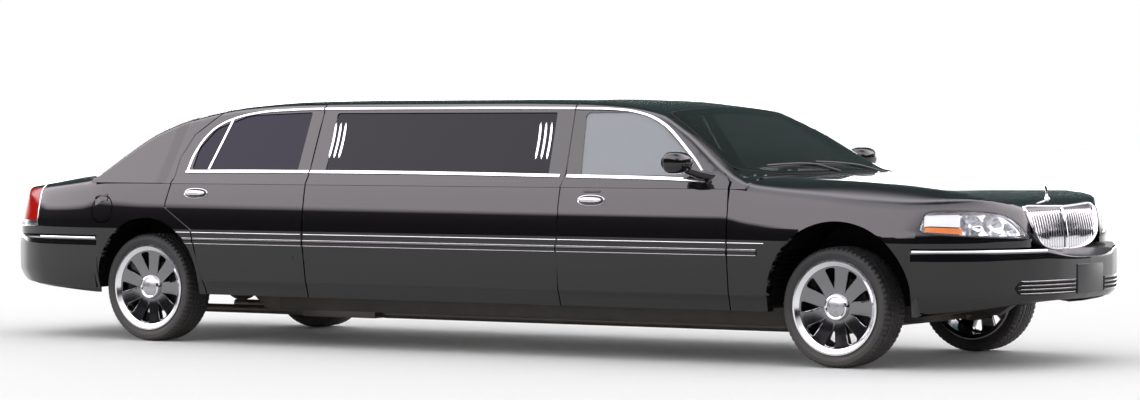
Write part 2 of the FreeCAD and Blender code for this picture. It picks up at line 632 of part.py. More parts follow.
def cowl_firewall(shell):
    """Firewall, cowl tray, hinge pillars and the front doors' hinge arms."""
    x = FRONT - 560
    wall = box(x, x + 22, -HALF_WIDTH + 150, HALF_WIDTH - 150, SILL_Z, 985)
    tray = box(FRONT - 640, FRONT - 500, -HALF_WIDTH + 230, HALF_WIDTH - 230, 963, 985)
    strip = shell.common(box(FRONT - 519.5, FRONT - 495, 225 - HALF_WIDTH, HALF_WIDTH - 225,
                             900, 1200))
    riser = box(FRONT - 515, FRONT - 498, 230 - HALF_WIDTH, HALF_WIDTH - 230, 963, COWL_TOP + 5)
    posts = both_sides(FRONT_HINGE_X - 30, x + 10, HALF_WIDTH - 230, HALF_WIDTH - 150,
                       SILL_TOP, 960)
    arms = [hinge_arm(FRONT_HINGE_X, z, HALF_WIDTH - 160) for z in HINGE_HEIGHTS]
    arms += [mirror(arm) for arm in arms]
    hole = box(x - 5, x + 30, -150, 150, 200, 505)
    arms += lid_arm(*HOOD_HINGE, x + 20, 125, 0)
    return fuse([wall, tray, strip, riser, posts] + arms).cut(hole)


def engine_block():
    """Engine and gearbox as one plain block."""
    engine = box(FRONT - 420, FRONT + 330, -ENGINE_HALF, ENGINE_HALF, 300, 830)
    gearbox = across([(FRONT - 1180, CROSS_Z[1]), (FRONT - 1180, 325), (FRONT - 640, 440),
                      (FRONT - 420, 440), (FRONT - 420, CROSS_Z[1])], -130, 130)
    return engine.fuse(gearbox).removeSplitter()


def rear_axle():
    """Axle tube, differential, stub shafts, brakes, links and propeller shaft."""
    hub = V(REAR, 0, TYRE_R)
    tube = rod(hub - V(0, REAR_WHEEL_Y - 95, 0), hub + V(0, REAR_WHEEL_Y - 95, 0), 38)
    ball = Part.makeSphere(118, hub)
    stubs = rod(hub - V(0, REAR_WHEEL_Y + 30, 0), hub + V(0, REAR_WHEEL_Y + 30, 0), 22)
    pieces = [tube, ball, stubs]
    for sign in (-1, 1):
        y = sign * (REAR_WHEEL_Y - 95)
        pieces.append(rod(V(REAR, y, TYRE_R), V(REAR, y + sign * 22, TYRE_R), 150))
        link = sign * (RAIL_Y[0] - 60)
        pieces.append(box(REAR, REAR + 480, link - 22, link + 22, 270, 320))
        pieces.append(rod(V(REAR, sign * RAIL_MID, TYRE_R), V(REAR, sign * RAIL_MID, 430), 45))
    pieces.append(box(REAR + 450, REAR + 600, 38 - RAIL_Y[0], RAIL_Y[0] - 38, 262, 290))
    joint = V(REAR + 760, 0, 268)
    pieces.append(rod(V(REAR + 80, 0, 300), joint, 22))
    pieces.append(Part.makeSphere(24, joint))
    pieces.append(rod(joint, V(FRONT - 1180, 0, joint.z), 22))
    return fuse(pieces)


def front_suspension():
    """Lower and upper arms, springs and steering rack on the front frame."""
    pieces = [box(FRONT - 60, FRONT + 60, -RAIL_Y[0] + 2, RAIL_Y[0] - 2, 200, 236)]
    for sign in (-1, 1):
        for half, root, eye, z0, z1 in ((130, 5, 28, *LOWER_ARM_Z),
                                        (80, 2, 24, UPPER_ARM_Z, UPPER_ARM_Z + 20)):
            arm = [(FRONT - half, RAIL_Y[0] - root), (FRONT - eye, KINGPIN_Y - 8),
                   (FRONT + eye, KINGPIN_Y - 8), (FRONT + half, RAIL_Y[0] - root)]
            pieces.append(upward([(x, sign * y) for x, y in arm], z0, z1))
            pieces.append(Part.makeCylinder(eye, z1 - z0, V(FRONT, sign * KINGPIN_Y, z0)))
        spring = sign * RAIL_MID
        pieces.append(box(FRONT - 80, FRONT + 80, spring - 42, spring + 42, 330, UPPER_ARM_Z + 5))
    return fuse(pieces)


def knuckle():
    """Right-hand steering knuckle with its hub, stub shaft and brake disc."""
    hub = V(FRONT, -FRONT_WHEEL_Y, TYRE_R)
    upright = box(FRONT - 22, FRONT + 22, -KINGPIN_Y - 22, -KINGPIN_Y + 22,
                  LOWER_ARM_Z[1] + SEAT_GAP, UPPER_ARM_Z - SEAT_GAP)
    carrier = rod(V(FRONT, -KINGPIN_Y, TYRE_R), V(FRONT, -KINGPIN_Y - 60, TYRE_R), 60)
    disc = rod(V(FRONT, -KINGPIN_Y - 36, TYRE_R), V(FRONT, -KINGPIN_Y - 60, TYRE_R), 148)
    stub = rod(V(FRONT, -KINGPIN_Y, TYRE_R), hub - V(0, 30, 0), 22)
    lever = box(FRONT - 130, FRONT, -KINGPIN_Y - 12, -KINGPIN_Y + 12, 262, 286)
    return fuse([upright, carrier, disc, stub, lever])


def rim(x, y, sign):
    """Nine-spoke wheel rim round its hub."""
    outer = y + sign * (TYRE_WIDTH / 2 - 12)
    inner = y - sign * (TYRE_WIDTH / 2 - 12)
    barrel = rod(V(x, inner, TYRE_R), V(x, outer, TYRE_R), RIM_R)
    barrel = barrel.cut(rod(V(x, inner, TYRE_R), V(x, outer, TYRE_R), RIM_R - 12))
    face_from, face_to = y + sign * 38, y + sign * 78
    hub = rod(V(x, face_from - sign * 12, TYRE_R), V(x, face_to + sign * 8, TYRE_R), 62)
    pieces = [barrel, hub]
    for i in range(SPOKES):
        low, high = min(face_from, face_to), max(face_from, face_to)
        spoke = Part.makeBox(RIM_R - 46, high - low, 44, V(40, low, -22))
        spoke.rotate(V(0, 0, 0), V(0, 1, 0), 360 * i / SPOKES + 90)
        spoke.translate(V(x, 0, TYRE_R))
        pieces.append(spoke)
    wheel = fuse(pieces)
    ream = rod(V(x, y - sign * 40, TYRE_R), V(x, y + sign * (30 + SEAT_GAP), TYRE_R), 22 + SEAT_GAP)
    return wheel.cut(ream)


def tyre(x, y):
    half = TYRE_WIDTH / 2
    bore = RIM_R + SEAT_GAP
    profile = [(y - half + 8, bore), (y + half - 8, bore), (y + half, RIM_R + 30),
               (y + half - 6, TYRE_R, 22), (y - half + 6, TYRE_R, 22), (y - half, RIM_R + 30)]
    face = Part.Face(wire(profile, lambda a, b: V(x, a, TYRE_R + b)))
    return face.revolve(V(x, 0, TYRE_R), V(0, 1, 0), 360)


def exhaust_system():
    pieces = []
    for sign in (-1, 1):
        y = sign * (RAIL_Y[0] - 140)
        pieces.append(rod(V(FRONT - 500, y, 170), V(REAR + 1300, y, 170), 28))
        pieces.append(box(REAR + 760, REAR + 1300, y - 110, y + 110, 145, 222))
        pieces.append(rod(V(REAR + 760, y, 170), V(REAR - 250, y, 170), 26))
        pieces.append(box(FRONT - 1510, FRONT - 1490, y - 20, y + 20, 165, CROSS_Z[0]))
        pieces.append(box(REAR + 630, REAR + 650, y - 20, y + 20, 165, CROSS_Z[0]))
    pieces.append(box(FRONT - 2330, FRONT - 2290, 140 - RAIL_Y[0], RAIL_Y[0] - 140, 165, CROSS_Z[0]))
    return fuse(pieces)


def fuel_tank():
    half = RAIL_Y[0] - 20
    return box(REAR - 1000, REAR - 570, -half, half, 320, 560 - (FLOOR_TOP - SILL_Z))


# ------------------------------------------------------------------- interior


def dashboard():
    half = HALF_WIDTH - 232
    side = [(FRONT - 560, 640), (FRONT - 560, 962), (FRONT - 640, 962), (FRONT - 900, 930, 60),
            (FRONT - 980, 860, 40), (FRONT - 960, 760, 30), (FRONT - 840, 640)]
    board = across(side, -half, half)
    column = rod(COLUMN_FOOT, COLUMN_FOOT + STEER_AXIS * COLUMN_LONG, 28)
    return board.fuse(column).removeSplitter()


def steering_wheel():
    """Rim, hub and spokes, turning about the column."""
    centre = COLUMN_FOOT + STEER_AXIS * (COLUMN_LONG + SEAT_GAP)
    hub = rod(centre, centre + STEER_AXIS * 40, 60)
    ring_centre = centre + STEER_AXIS * 30
    ring = Part.makeTorus(185, 14, ring_centre, STEER_AXIS)
    side = STEER_AXIS.cross(V(0, 1, 0)).normalize()
    pieces = [hub, ring]
    for direction in (V(0, 1, 0), V(0, -1, 0), side * -1):
        pieces.append(rod(ring_centre, ring_centre + direction * 185, 9))
    return fuse(pieces)


def seat(x, y, half):
    """One front seat: base, cushion and back."""
    side = [(x - 330, FLOOR_TOP), (x + 170, FLOOR_TOP), (x + 190, 420), (x + 240, 470),
            (x + 220, 560, 50), (x - 180, 530, 60), (x - 300, 1010, 50), (x - 400, 1030, 40),
            (x - 330, 460, 60)]
    return across(side, y - half, y + half)


def rear_seats():
    """Rear bench across the car and a side bench along its left wall."""
    x = REAR + 330
    back = HALF_WIDTH - 400
    bench = across([(x + 330, FLOOR_TOP), (x + 860, FLOOR_TOP), (x + 870, 600, 50),
                    (x + 300, 570, 60), (x + 130, 1000, 60), (x - 20, 1010, 50),
                    (x + 180, 600)], -back, back)
    side = along([(HALF_WIDTH - 212, FLOOR_TOP), (HALF_WIDTH - 560, FLOOR_TOP),
                  (HALF_WIDTH - 560, 580, 50), (HALF_WIDTH - 250, 570, 40),
                  (HALF_WIDTH - 215, 900, 30), (HALF_WIDTH - 140, 900, 20),
                  (HALF_WIDTH - 140, SILL_TOP + 1), (HALF_WIDTH - 212, SILL_TOP + 1)],
                 REAR_DOOR_X[1] + 120, FRONT - 2060)
    return [bench, side]


def bar_cabinet():
    """Low bar along the right wall of the passenger cabin."""
    return along([(-HALF_WIDTH + 212, FLOOR_TOP), (-HALF_WIDTH + 212, SILL_TOP + 1),
                  (-HALF_WIDTH + 140, SILL_TOP + 1), (-HALF_WIDTH + 140, 860),
                  (-HALF_WIDTH + 400, 860, 20), (-HALF_WIDTH + 430, FLOOR_TOP)],
                 REAR_DOOR_X[1] + 300, FRONT - 2060)


def partition():
    """Wall between driver and passengers, with an opening at the top."""
    x = FRONT - 1960
    low = HALF_WIDTH - 211
    outline = [(-low, FLOOR_TOP), (-low, 970), (-window_plane(1400, 48), 1400),
               (window_plane(1400, 48), 1400), (low, 970), (low, FLOOR_TOP)]
    wall = along(outline, x, x + 60)
    return wall.cut(along([(510 - HALF_WIDTH, 960), (570 - HALF_WIDTH, 1340),
                           (HALF_WIDTH - 570, 1340), (HALF_WIDTH - 510, 960)], x, x + 60))


# -------------------------------------------------------------- lamps, grille


def headlamp(outer):
    """Right-hand lamp unit, a block behind the wrapped lens."""
    block = box(FRONT + 540, NOSE_X, -HALF_WIDTH, -GRILLE_HALF - 5, LAMP[0], LAMP[1])
    return largest(outer.common(block).cut(plan_block(LAMP_DEPTH)))


def tail_lamp(outer):
    block = box(TAIL_X, REAR - 880, -HALF_WIDTH, 430 - HALF_WIDTH, TAIL_LAMP[0], TAIL_LAMP[1])
    trunk_hole = upward(symmetric(TRUNK), 650, SKY)
    lamp = outer.common(block).cut(plan_block(SIDE_WALL)).cut(trunk_hole)
    return largest(lamp)


def grille(outer):
    """Upright grille with its shell and thin vertical bars."""
    block = box(FRONT + 805, FRONT + 941, -GRILLE_HALF, GRILLE_HALF, FRONT_BUMPER_TOP, 828)
    body = outer.common(block)
    frame = body.cut(box(FRONT + 780, NOSE_X, -GRILLE_HALF + 30, GRILLE_HALF - 30,
                         FRONT_BUMPER_TOP + 30, 800))
    return frame.fuse(box(FRONT + 868, FRONT + 915, -GRILLE_HALF + 20, GRILLE_HALF - 20,
                          FRONT_BUMPER_TOP + 20, 810)).removeSplitter()


def door_mirror(outer):
    """Right-hand mirror head on a short arm."""
    x, y, z = FRONT - 905, HALF_WIDTH + 60, 1075
    head = across([(x - 75, z - 52, 20), (x - 75, z + 70, 25), (x + 90, z + 50, 40),
                   (x + 100, z - 40, 30)], -y - 75, -y + 75)
    arm = upward([(x + 20, -y + 60), (x + 85, -y + 60), (x + 175, -HALF_WIDTH + 120),
                  (x + 110, -HALF_WIDTH + 120)], z - 36, z - 12)
    return largest(head.fuse(arm).removeSplitter().cut(outer))


# Centre x, z and half size of the hole.
FUEL_DOOR = (REAR_ARCH_ENDS[0] + 40, REAR_ARCH[1] + 443, 84.0)
FUEL_ROUND = 0.84                       # corner radius as a share of the half size
FUEL_HINGE = (V(FUEL_DOOR[0] + 37, -HALF_WIDTH + 9, FUEL_DOOR[1] - 80),
              V(0, 17, 160).normalize())


def fuel_door_shapes(outer):
    """Flap in the right quarter panel, the hole that it fills and its two pins."""
    x, z, half = FUEL_DOOR

    def outline(size):
        turn = size * FUEL_ROUND
        return across([(x - size, z - size, turn), (x + size, z - size, turn),
                       (x + size, z + size, turn), (x - size, z + size, turn)],
                      -HALF_WIDTH - 20, -HALF_WIDTH + 80)
    flap = largest(outer.common(outline(half - 7)).cut(lower_body(14, 14)))
    point, axis = FUEL_HINGE
    pins = []
    for start, end in ((-8, 28), (132, 168)):
        pins.append(rod(point + axis * start, point + axis * end, 2))
        flap = flap.cut(rod(point + axis * (start - 2), point + axis * (end + 2), 2 + SEAT_GAP))
    return flap, outline(half), pins


# --------------------------------------------------------------------- output


def main():
    os.makedirs("parts", exist_ok=True)
    outer, shell = body_shell()
    extension, wing, quarter, roof = fixed_panels(shell)
    lamp, tail = headlamp(outer), tail_lamp(outer)
    hood, trunk = lids(shell, lamp)
    flap, flap_hole, flap_pins = fuel_door_shapes(outer)

    front_door = door(shell, FRONT_DOOR, FRONT_GLASS, FRONT_HINGE_X)
    rear_door = door(shell, REAR_DOOR, REAR_GLASS, REAR_HINGE_X)
    front_pane, rear_pane = side_glass(FRONT_GLASS), side_glass(REAR_GLASS)
    mirror_head = door_mirror(outer)
    for name, shape in (("front_door", front_door), ("rear_door", rear_door),
                        ("front_door_glass", front_pane), ("rear_door_glass", rear_pane),
                        ("door_mirror", mirror_head)):
        save(name + "_right", [shape])
        save(name + "_left", [mirror(shape)])

    rear_house = wheelhouse(REAR_ARCH, HALF_WIDTH - 394, 940)
    rear_house = rear_house.cut(box(REAR - 80, REAR + 80, -HALF_WIDTH, 0, 300, TYRE_R + 153.5))
    front_house = wheelhouse(FRONT_ARCH, RAIL_Y[1] + 14, 900)
    front_house = front_house.cut(box(FRONT - 140, FRONT + 140, -HALF_WIDTH, 0,
                                      300, UPPER_ARM_Z + 40))
    quarter, wing = quarter.fuse(rear_house), wing.fuse(front_house)
    cowl = cowl_firewall(shell)
    wing = largest(wing.cut(cowl))
    roof = largest(roof.cut(cowl))
    left_quarter = mirror(quarter.copy())
    right_quarter = fuse([largest(quarter.copy().cut(flap_hole))] + flap_pins)
    save("quarter_panels", [right_quarter, left_quarter])
    save("front_fenders", [wing, mirror(wing)])
    sides = panel_and_frame(extension)
    save("extension_sides", sides + [mirror(side) for side in sides])
    pane = side_glass(EXTENSION_GLASS)
    glass = greenhouse(GLASS_SINK, GLASS_SINK).cut(greenhouse(GLASS_SINK + 1, GLASS_SINK + GLASS))
    front_glass = largest(glass.common(upward(symmetric(WINDSCREEN), 1032, SKY)))
    back_glass = largest(glass.common(upward(symmetric(BACKLIGHT), 1030, SKY)))
    save("extension_windows", [pane, mirror(pane)])
    save("windscreen", [front_glass])
    save("rear_window", [back_glass])
    save("roof_panel", [roof])
    save("trunk_lid", [trunk])
    save("fuel_door", [flap])

    front_bumper = bumper(FRONT_BUMPER, FRONT_BUMPER_TOP, 400, 190, FRONT_ARCH)
    rear_bumper = bumper(REAR_BUMPER, REAR_BUMPER_TOP, 400, 140, REAR_ARCH)
    save("front_bumper", [front_bumper])
    save("rear_bumper", [rear_bumper])
    save("hood", [hood])
    save("headlamps", [lamp, mirror(lamp)])
    save("tail_lamps", [tail, mirror(tail)])
    save("grille", [grille(outer)])

    floor = [piece.cut(rear_bumper).cut(right_quarter).cut(left_quarter)
             for piece in floor_pan(shell)]
    save("floor_pan", floor)
    frame = chassis_frame().cut(front_bumper).cut(rear_bumper)
    for piece in floor:
        frame = frame.cut(piece)
    save("chassis_frame", frame_lengths(frame))
    save("cowl_firewall", [cowl])
    save("engine_block", [engine_block()])
    save("rear_axle", [rear_axle()])
    save("front_suspension", [front_suspension()])
    save("exhaust_system", [exhaust_system()])
    save("fuel_tank", [fuel_tank()])

    save("dashboard", [dashboard()])
    save("steering_wheel", [steering_wheel()])
    save("front_seats", [seat(FRONT - 1480, y, SEAT_HALF) for y in (-SEAT_Y, SEAT_Y)])
    save("rear_seats", rear_seats())
    save("bar_cabinet", [bar_cabinet()])
    save("partition", [partition()])

    save("steering_knuckle_right", [knuckle()])
    save("steering_knuckle_left", [mirror(knuckle())])
    for end, x, y in (("front", FRONT, FRONT_WHEEL_Y), ("rear", REAR, REAR_WHEEL_Y)):
        for side, sign in (("right", -1), ("left", 1)):
            save("rim_%s_%s" % (end, side), [rim(x, sign * y, sign)])
            save("tyre_%s_%s" % (end, side), [tyre(x, sign * y)])


main()
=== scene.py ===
"""Finish of a stretch limousine: smooth panels, glass, bright trim, lamps, wheels and cabin.

The file is laid out as an add-on and run as a script.  Lengths are metres, +X forward, +Y left.
"""
import json
import math

import bpy
import numpy as np
from mathutils import Matrix, Vector, noise
from mathutils.bvhtree import BVHTree


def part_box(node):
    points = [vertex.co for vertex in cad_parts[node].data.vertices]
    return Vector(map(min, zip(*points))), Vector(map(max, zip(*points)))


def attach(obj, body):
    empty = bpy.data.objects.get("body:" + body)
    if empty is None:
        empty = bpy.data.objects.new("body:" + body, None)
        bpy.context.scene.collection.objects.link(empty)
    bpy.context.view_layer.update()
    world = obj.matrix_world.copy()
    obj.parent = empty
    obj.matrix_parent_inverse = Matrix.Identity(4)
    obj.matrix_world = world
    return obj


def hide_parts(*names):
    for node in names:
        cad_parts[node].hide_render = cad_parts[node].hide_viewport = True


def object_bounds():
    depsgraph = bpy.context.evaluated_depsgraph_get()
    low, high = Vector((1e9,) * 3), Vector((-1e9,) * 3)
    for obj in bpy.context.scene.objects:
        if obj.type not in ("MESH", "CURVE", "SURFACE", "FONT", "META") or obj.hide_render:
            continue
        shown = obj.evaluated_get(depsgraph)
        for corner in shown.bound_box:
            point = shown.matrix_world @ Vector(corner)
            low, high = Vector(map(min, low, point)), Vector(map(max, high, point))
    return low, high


bl_info = {
    "name": "Stretch limousine finish",
    "version": (1, 0, 0),
    "blender": (4, 5, 0),
    "location": "View3D > Sidebar > Limousine",
    "description": "Builds the visible panels, trim, lamps, wheels and cabin of a stretch limousine",
    "category": "Object",
}

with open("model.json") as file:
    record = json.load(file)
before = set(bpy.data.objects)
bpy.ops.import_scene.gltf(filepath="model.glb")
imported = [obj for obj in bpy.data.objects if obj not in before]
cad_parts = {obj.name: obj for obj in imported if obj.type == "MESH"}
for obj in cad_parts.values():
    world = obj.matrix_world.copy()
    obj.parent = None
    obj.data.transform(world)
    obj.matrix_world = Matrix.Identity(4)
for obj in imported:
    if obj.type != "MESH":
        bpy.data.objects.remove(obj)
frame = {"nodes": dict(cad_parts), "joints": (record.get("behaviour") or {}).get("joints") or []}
NODES = frame["nodes"]
CAD_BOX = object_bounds()
JOINTS = {joint["name"]: joint for joint in frame["joints"]}

FRONT = JOINTS["front_wheel_spin_right"]["pos_m"][0]
REAR = JOINTS["rear_wheel_spin_right"]["pos_m"][0]
NOSE, TAIL = CAD_BOX[1].x, CAD_BOX[0].x
HALF = 0.990                # half width at the side mouldings
BELT = 1.030                # foot of the side windows
SILL = 0.297
SLOPE = 0.651               # lean of the side windows, across per up
GLASS_IN = 0.085            # inset of their foot
ROOF = 1.478
AHEAD, ABOVE, ASIDE = 4.5, 2.0, 1.5     # rays start this far out, beyond the car
DOWN, BACKWARD, FORWARD, INWARD = (0, 0, -1), (-1, 0, 0), (1, 0, 0), (0, 1, 0)
SIDES = (("right", -1), ("left", 1))

# ------------------------------------------------------------------ body surfaces
# Upper edge of the body: x, middle height, shoulder inset and height, edge inset and height.
LOWER = [
    (FRONT + 0.960, 0.832, 0.370, 0.828, 0.190, 0.780),
    (FRONT + 0.812, 0.904, 0.320, 0.898, 0.165, 0.842),
    (FRONT + 0.530, 0.960, 0.290, 0.955, 0.140, 0.903),
    (FRONT, 1.012, 0.255, 1.003, 0.090, 0.940),
    (FRONT - 0.500, 1.034, 0.215, 1.020, 0.065, 0.975),
    (FRONT - 0.640, BELT, 0.130, BELT, 0.058, 1.000),
    (REAR - 0.300, BELT, 0.130, BELT, 0.062, 1.000),
    (REAR - 0.480, 1.022, 0.250, 1.016, 0.092, 0.975),
    (REAR - 0.890, 0.972, 0.290, 0.966, 0.120, 0.925),
    (REAR - 1.260, 0.918, 0.330, 0.912, 0.140, 0.868),
]
# Greenhouse: x, roof height in the middle, height of its edge.
GREENHOUSE = [
    (FRONT - 0.520, 1.026, 0.990), (FRONT - 0.650, 1.092, 1.034), (FRONT - 1.067, 1.322, 1.284),
    (FRONT - 1.270, 1.410, 1.374), (FRONT - 1.480, 1.448, 1.407), (FRONT - 1.800, 1.471, 1.425),
    (FRONT - 2.300, ROOF, 1.432), (REAR + 1.500, ROOF, 1.432), (REAR + 0.960, 1.472, 1.427),
    (REAR + 0.580, 1.450, 1.408), (REAR + 0.214, 1.384, 1.348), (REAR - 0.028, 1.298, 1.262),
    (REAR - 0.396, 1.028, 0.990),
]
# Plan of the body, right half: x, half width.
PLAN = [
    (FRONT + 0.941, 0.0), (FRONT + 0.936, 0.430), (FRONT + 0.886, 0.600), (FRONT + 0.786, 0.760),
    (FRONT + 0.586, 0.905), (FRONT + 0.386, 0.960), (FRONT, HALF), (REAR, HALF),
    (REAR - 0.400, 0.980), (REAR - 0.800, 0.940), (REAR - 1.030, 0.870), (REAR - 1.150, 0.760),
    (REAR - 1.221, 0.590), (REAR - 1.246, 0.0),
]
# Side below the belt: inset and height; doubled points keep a sharp crease.
SIDE_FOOT = [(0.055, 0.200), (0.036, SILL), (0.020, 0.3785), (0.020, 0.3785), (0.015, 0.3845),
             (0.015, 0.3845), (0.004, 0.520), (0.0, 0.620), (0.001, 0.720)]
# Side above it: shares of the edge's inset and of the height up to the edge.
SIDE_TOP = [(0.08, 0.36), (0.20, 0.50), (0.42, 0.70), (0.66, 0.88), (1.0, 1.0)]
WAIST = 0.635
CORNER_ROUNDS = 3
NOSE_IN, SHOULDER_IN = 0.035, 0.062     # inset of the upper edge at the nose and on the sides


def steady(xs, ys, at):
    """Smooth curve through points that never swings past them."""
    order = np.argsort(xs)
    xs, ys = np.asarray(xs, float)[order], np.asarray(ys, float)[order]
    at = np.asarray(at, float)
    step = np.diff(xs)
    slope = np.diff(ys) / step
    tangent = np.concatenate(([slope[0]], np.zeros(len(xs) - 2), [slope[-1]]))
    left, right = slope[:-1], slope[1:]
    same = left * right > 0
    first, second = 2 * step[1:] + step[:-1], step[1:] + 2 * step[:-1]
    safe_left, safe_right = np.where(same, left, 1.0), np.where(same, right, 1.0)
    tangent[1:-1] = np.where(same, (first + second) / (first / safe_left + second / safe_right), 0)
    i = np.clip(np.searchsorted(xs, at) - 1, 0, len(xs) - 2)
    t = np.clip((at - xs[i]) / step[i], 0, 1)
    return ((2 * t ** 3 - 3 * t ** 2 + 1) * ys[i] + (t ** 3 - 2 * t ** 2 + t) * step[i] * tangent[i]
            + (3 * t ** 2 - 2 * t ** 3) * ys[i + 1] + (t ** 3 - t ** 2) * step[i] * tangent[i + 1])


def rounded(points):
    """Corners cut again and again, so that a control outline becomes a smooth curve."""
    points = np.asarray(points, float)
    for _ in range(CORNER_ROUNDS):
        ahead, behind = points[1:], points[:-1]
        cut = np.empty((2 * (len(points) - 1),) + points.shape[1:])
        cut[0::2] = 0.75 * behind + 0.25 * ahead
        cut[1::2] = 0.25 * behind + 0.75 * ahead
        points = np.concatenate((points[:1], cut, points[-1:]))
    return points


def run_along(points):
    """Distance of each point from the first, along the line."""
    return np.concatenate(([0], np.cumsum(np.linalg.norm(np.diff(points, axis=0), axis=1))))


def respaced(line, count, end=None):
    """Points spread evenly along a line, as far as a distance along it."""
    line = np.asarray(line, float)
    run = run_along(line)
    at = np.linspace(0, run[-1] if end is None else end, count)
    return np.stack([np.interp(at, run, line[:, k]) for k in range(line.shape[1])], 1)


def eased(loop, rounds):
    """Closed run of points, each mixed with its neighbours again and again."""
    for _ in range(rounds):
        loop = (np.roll(loop, 1, 0) + 2 * loop + np.roll(loop, -1, 0)) / 4
    return loop


def turns(count):
    """Even angles round a full turn."""
    return np.linspace(0, 2 * math.pi, count, endpoint=False)


def rail(plan, count):
    """Plan curve from one end of the car to the other: points and inward normals."""
    plan = np.asarray(plan, float)
    run = run_along(plan)
    tight = min(1.7, run[-1])
    bend = np.concatenate((np.linspace(0, run[-1], count), np.linspace(0, tight, count // 4),
                           np.linspace(run[-1] - tight, run[-1], count // 4)))
    bend = np.unique(np.round(bend, 4))
    bend[-1] = run[-1]
    spots = np.stack((steady(run, plan[:, 0], bend), steady(run, plan[:, 1], bend)), 1)
    along = np.gradient(spots, axis=0)
    along /= np.linalg.norm(along, axis=1)[:, None]
    inward = np.stack((along[:, 1], -along[:, 0]), 1)
    inward = np.where((inward @ [0, 1] > 0)[:, None], -inward, inward)
    inward[0], inward[-1] = (-math.copysign(1, plan[0, 0]), 0), (-math.copysign(1, plan[-1, 0]), 0)
    return spots, inward


def top_height(x, y):
    """Height of the hood, wings and boot over a point, y measured from the middle."""
    table = np.asarray(LOWER)
    middle, shoulder_y, shoulder, edge_y, edge = (
        steady(table[:, 0], column, x) for column in
        (table[:, 1], HALF - table[:, 2], table[:, 3], HALF - table[:, 4], table[:, 5]))
    share = np.clip(y / shoulder_y, 0, 1)
    inner = middle + (shoulder - middle) * share ** 2
    fall = (edge - shoulder) / (edge_y - shoulder_y)
    over = np.maximum(y - shoulder_y, 0)
    span = edge_y - shoulder_y
    return np.where(y < shoulder_y, inner, shoulder + fall * over * (0.62 + 0.38 * over / span))


def body_rows():
    """Right half of the body from nose to tail, each row from the sill up to the middle."""
    spots, inward = rail(PLAN, 220)
    rows = []
    for spot, normal in zip(spots, inward):
        reach = min(abs(spot[1]) / 0.5, 1.0)
        edge_in = NOSE_IN + (SHOULDER_IN - NOSE_IN) * reach
        edge = spot + normal * edge_in
        crown = float(top_height(edge[0], max(edge[1], 0)))
        line = [(spot + normal * inset, z) for inset, z in SIDE_FOOT]
        for share_in, share_up in SIDE_TOP:
            line.append((spot + normal * edge_in * share_in, WAIST + (crown - WAIST) * share_up))
        for w in (0.08, 0.2, 0.35, 0.5, 0.7, 0.85, 1.0):
            x, y = edge[0], max(edge[1], 0) * (1 - w)
            line.append(((x, y), float(top_height(x, y))))
        rows.append(rounded([(p[0], -max(p[1], 0), z) for p, z in line]))
    return rows


def window_plane(z):
    return HALF - GLASS_IN - SLOPE * (z - BELT)


def pillar_row(x, middle, edge):
    """Section of the greenhouse, right half, from its foot to the middle of the roof."""
    half, drop = window_plane(edge), middle - edge
    line = [(window_plane(0.96), 0.96)]
    for down in (0.12, 0.05):
        z = max(edge - down, 0.965)
        line.append((window_plane(z), z))
    line += [(half, edge), (0.9 * half, edge + 0.30 * drop), (0.78 * half, edge + 0.50 * drop),
             (0.55 * half, middle - 0.25 * drop), (0.28 * half, middle - 0.06 * drop),
             (0.1 * half, middle), (0, middle)]
    return rounded([(x, -y, z) for y, z in line])


def greenhouse_rows():
    """Right half of the greenhouse, each row from its foot up to the middle of the roof."""
    table = np.asarray(GREENHOUSE)
    rows = []
    for x in np.linspace(table[0, 0], table[-1, 0], 260):
        middle, edge = (float(steady(table[:, 0], table[:, k], x)) for k in (1, 2))
        rows.append(pillar_row(x, middle, edge))
    return rows


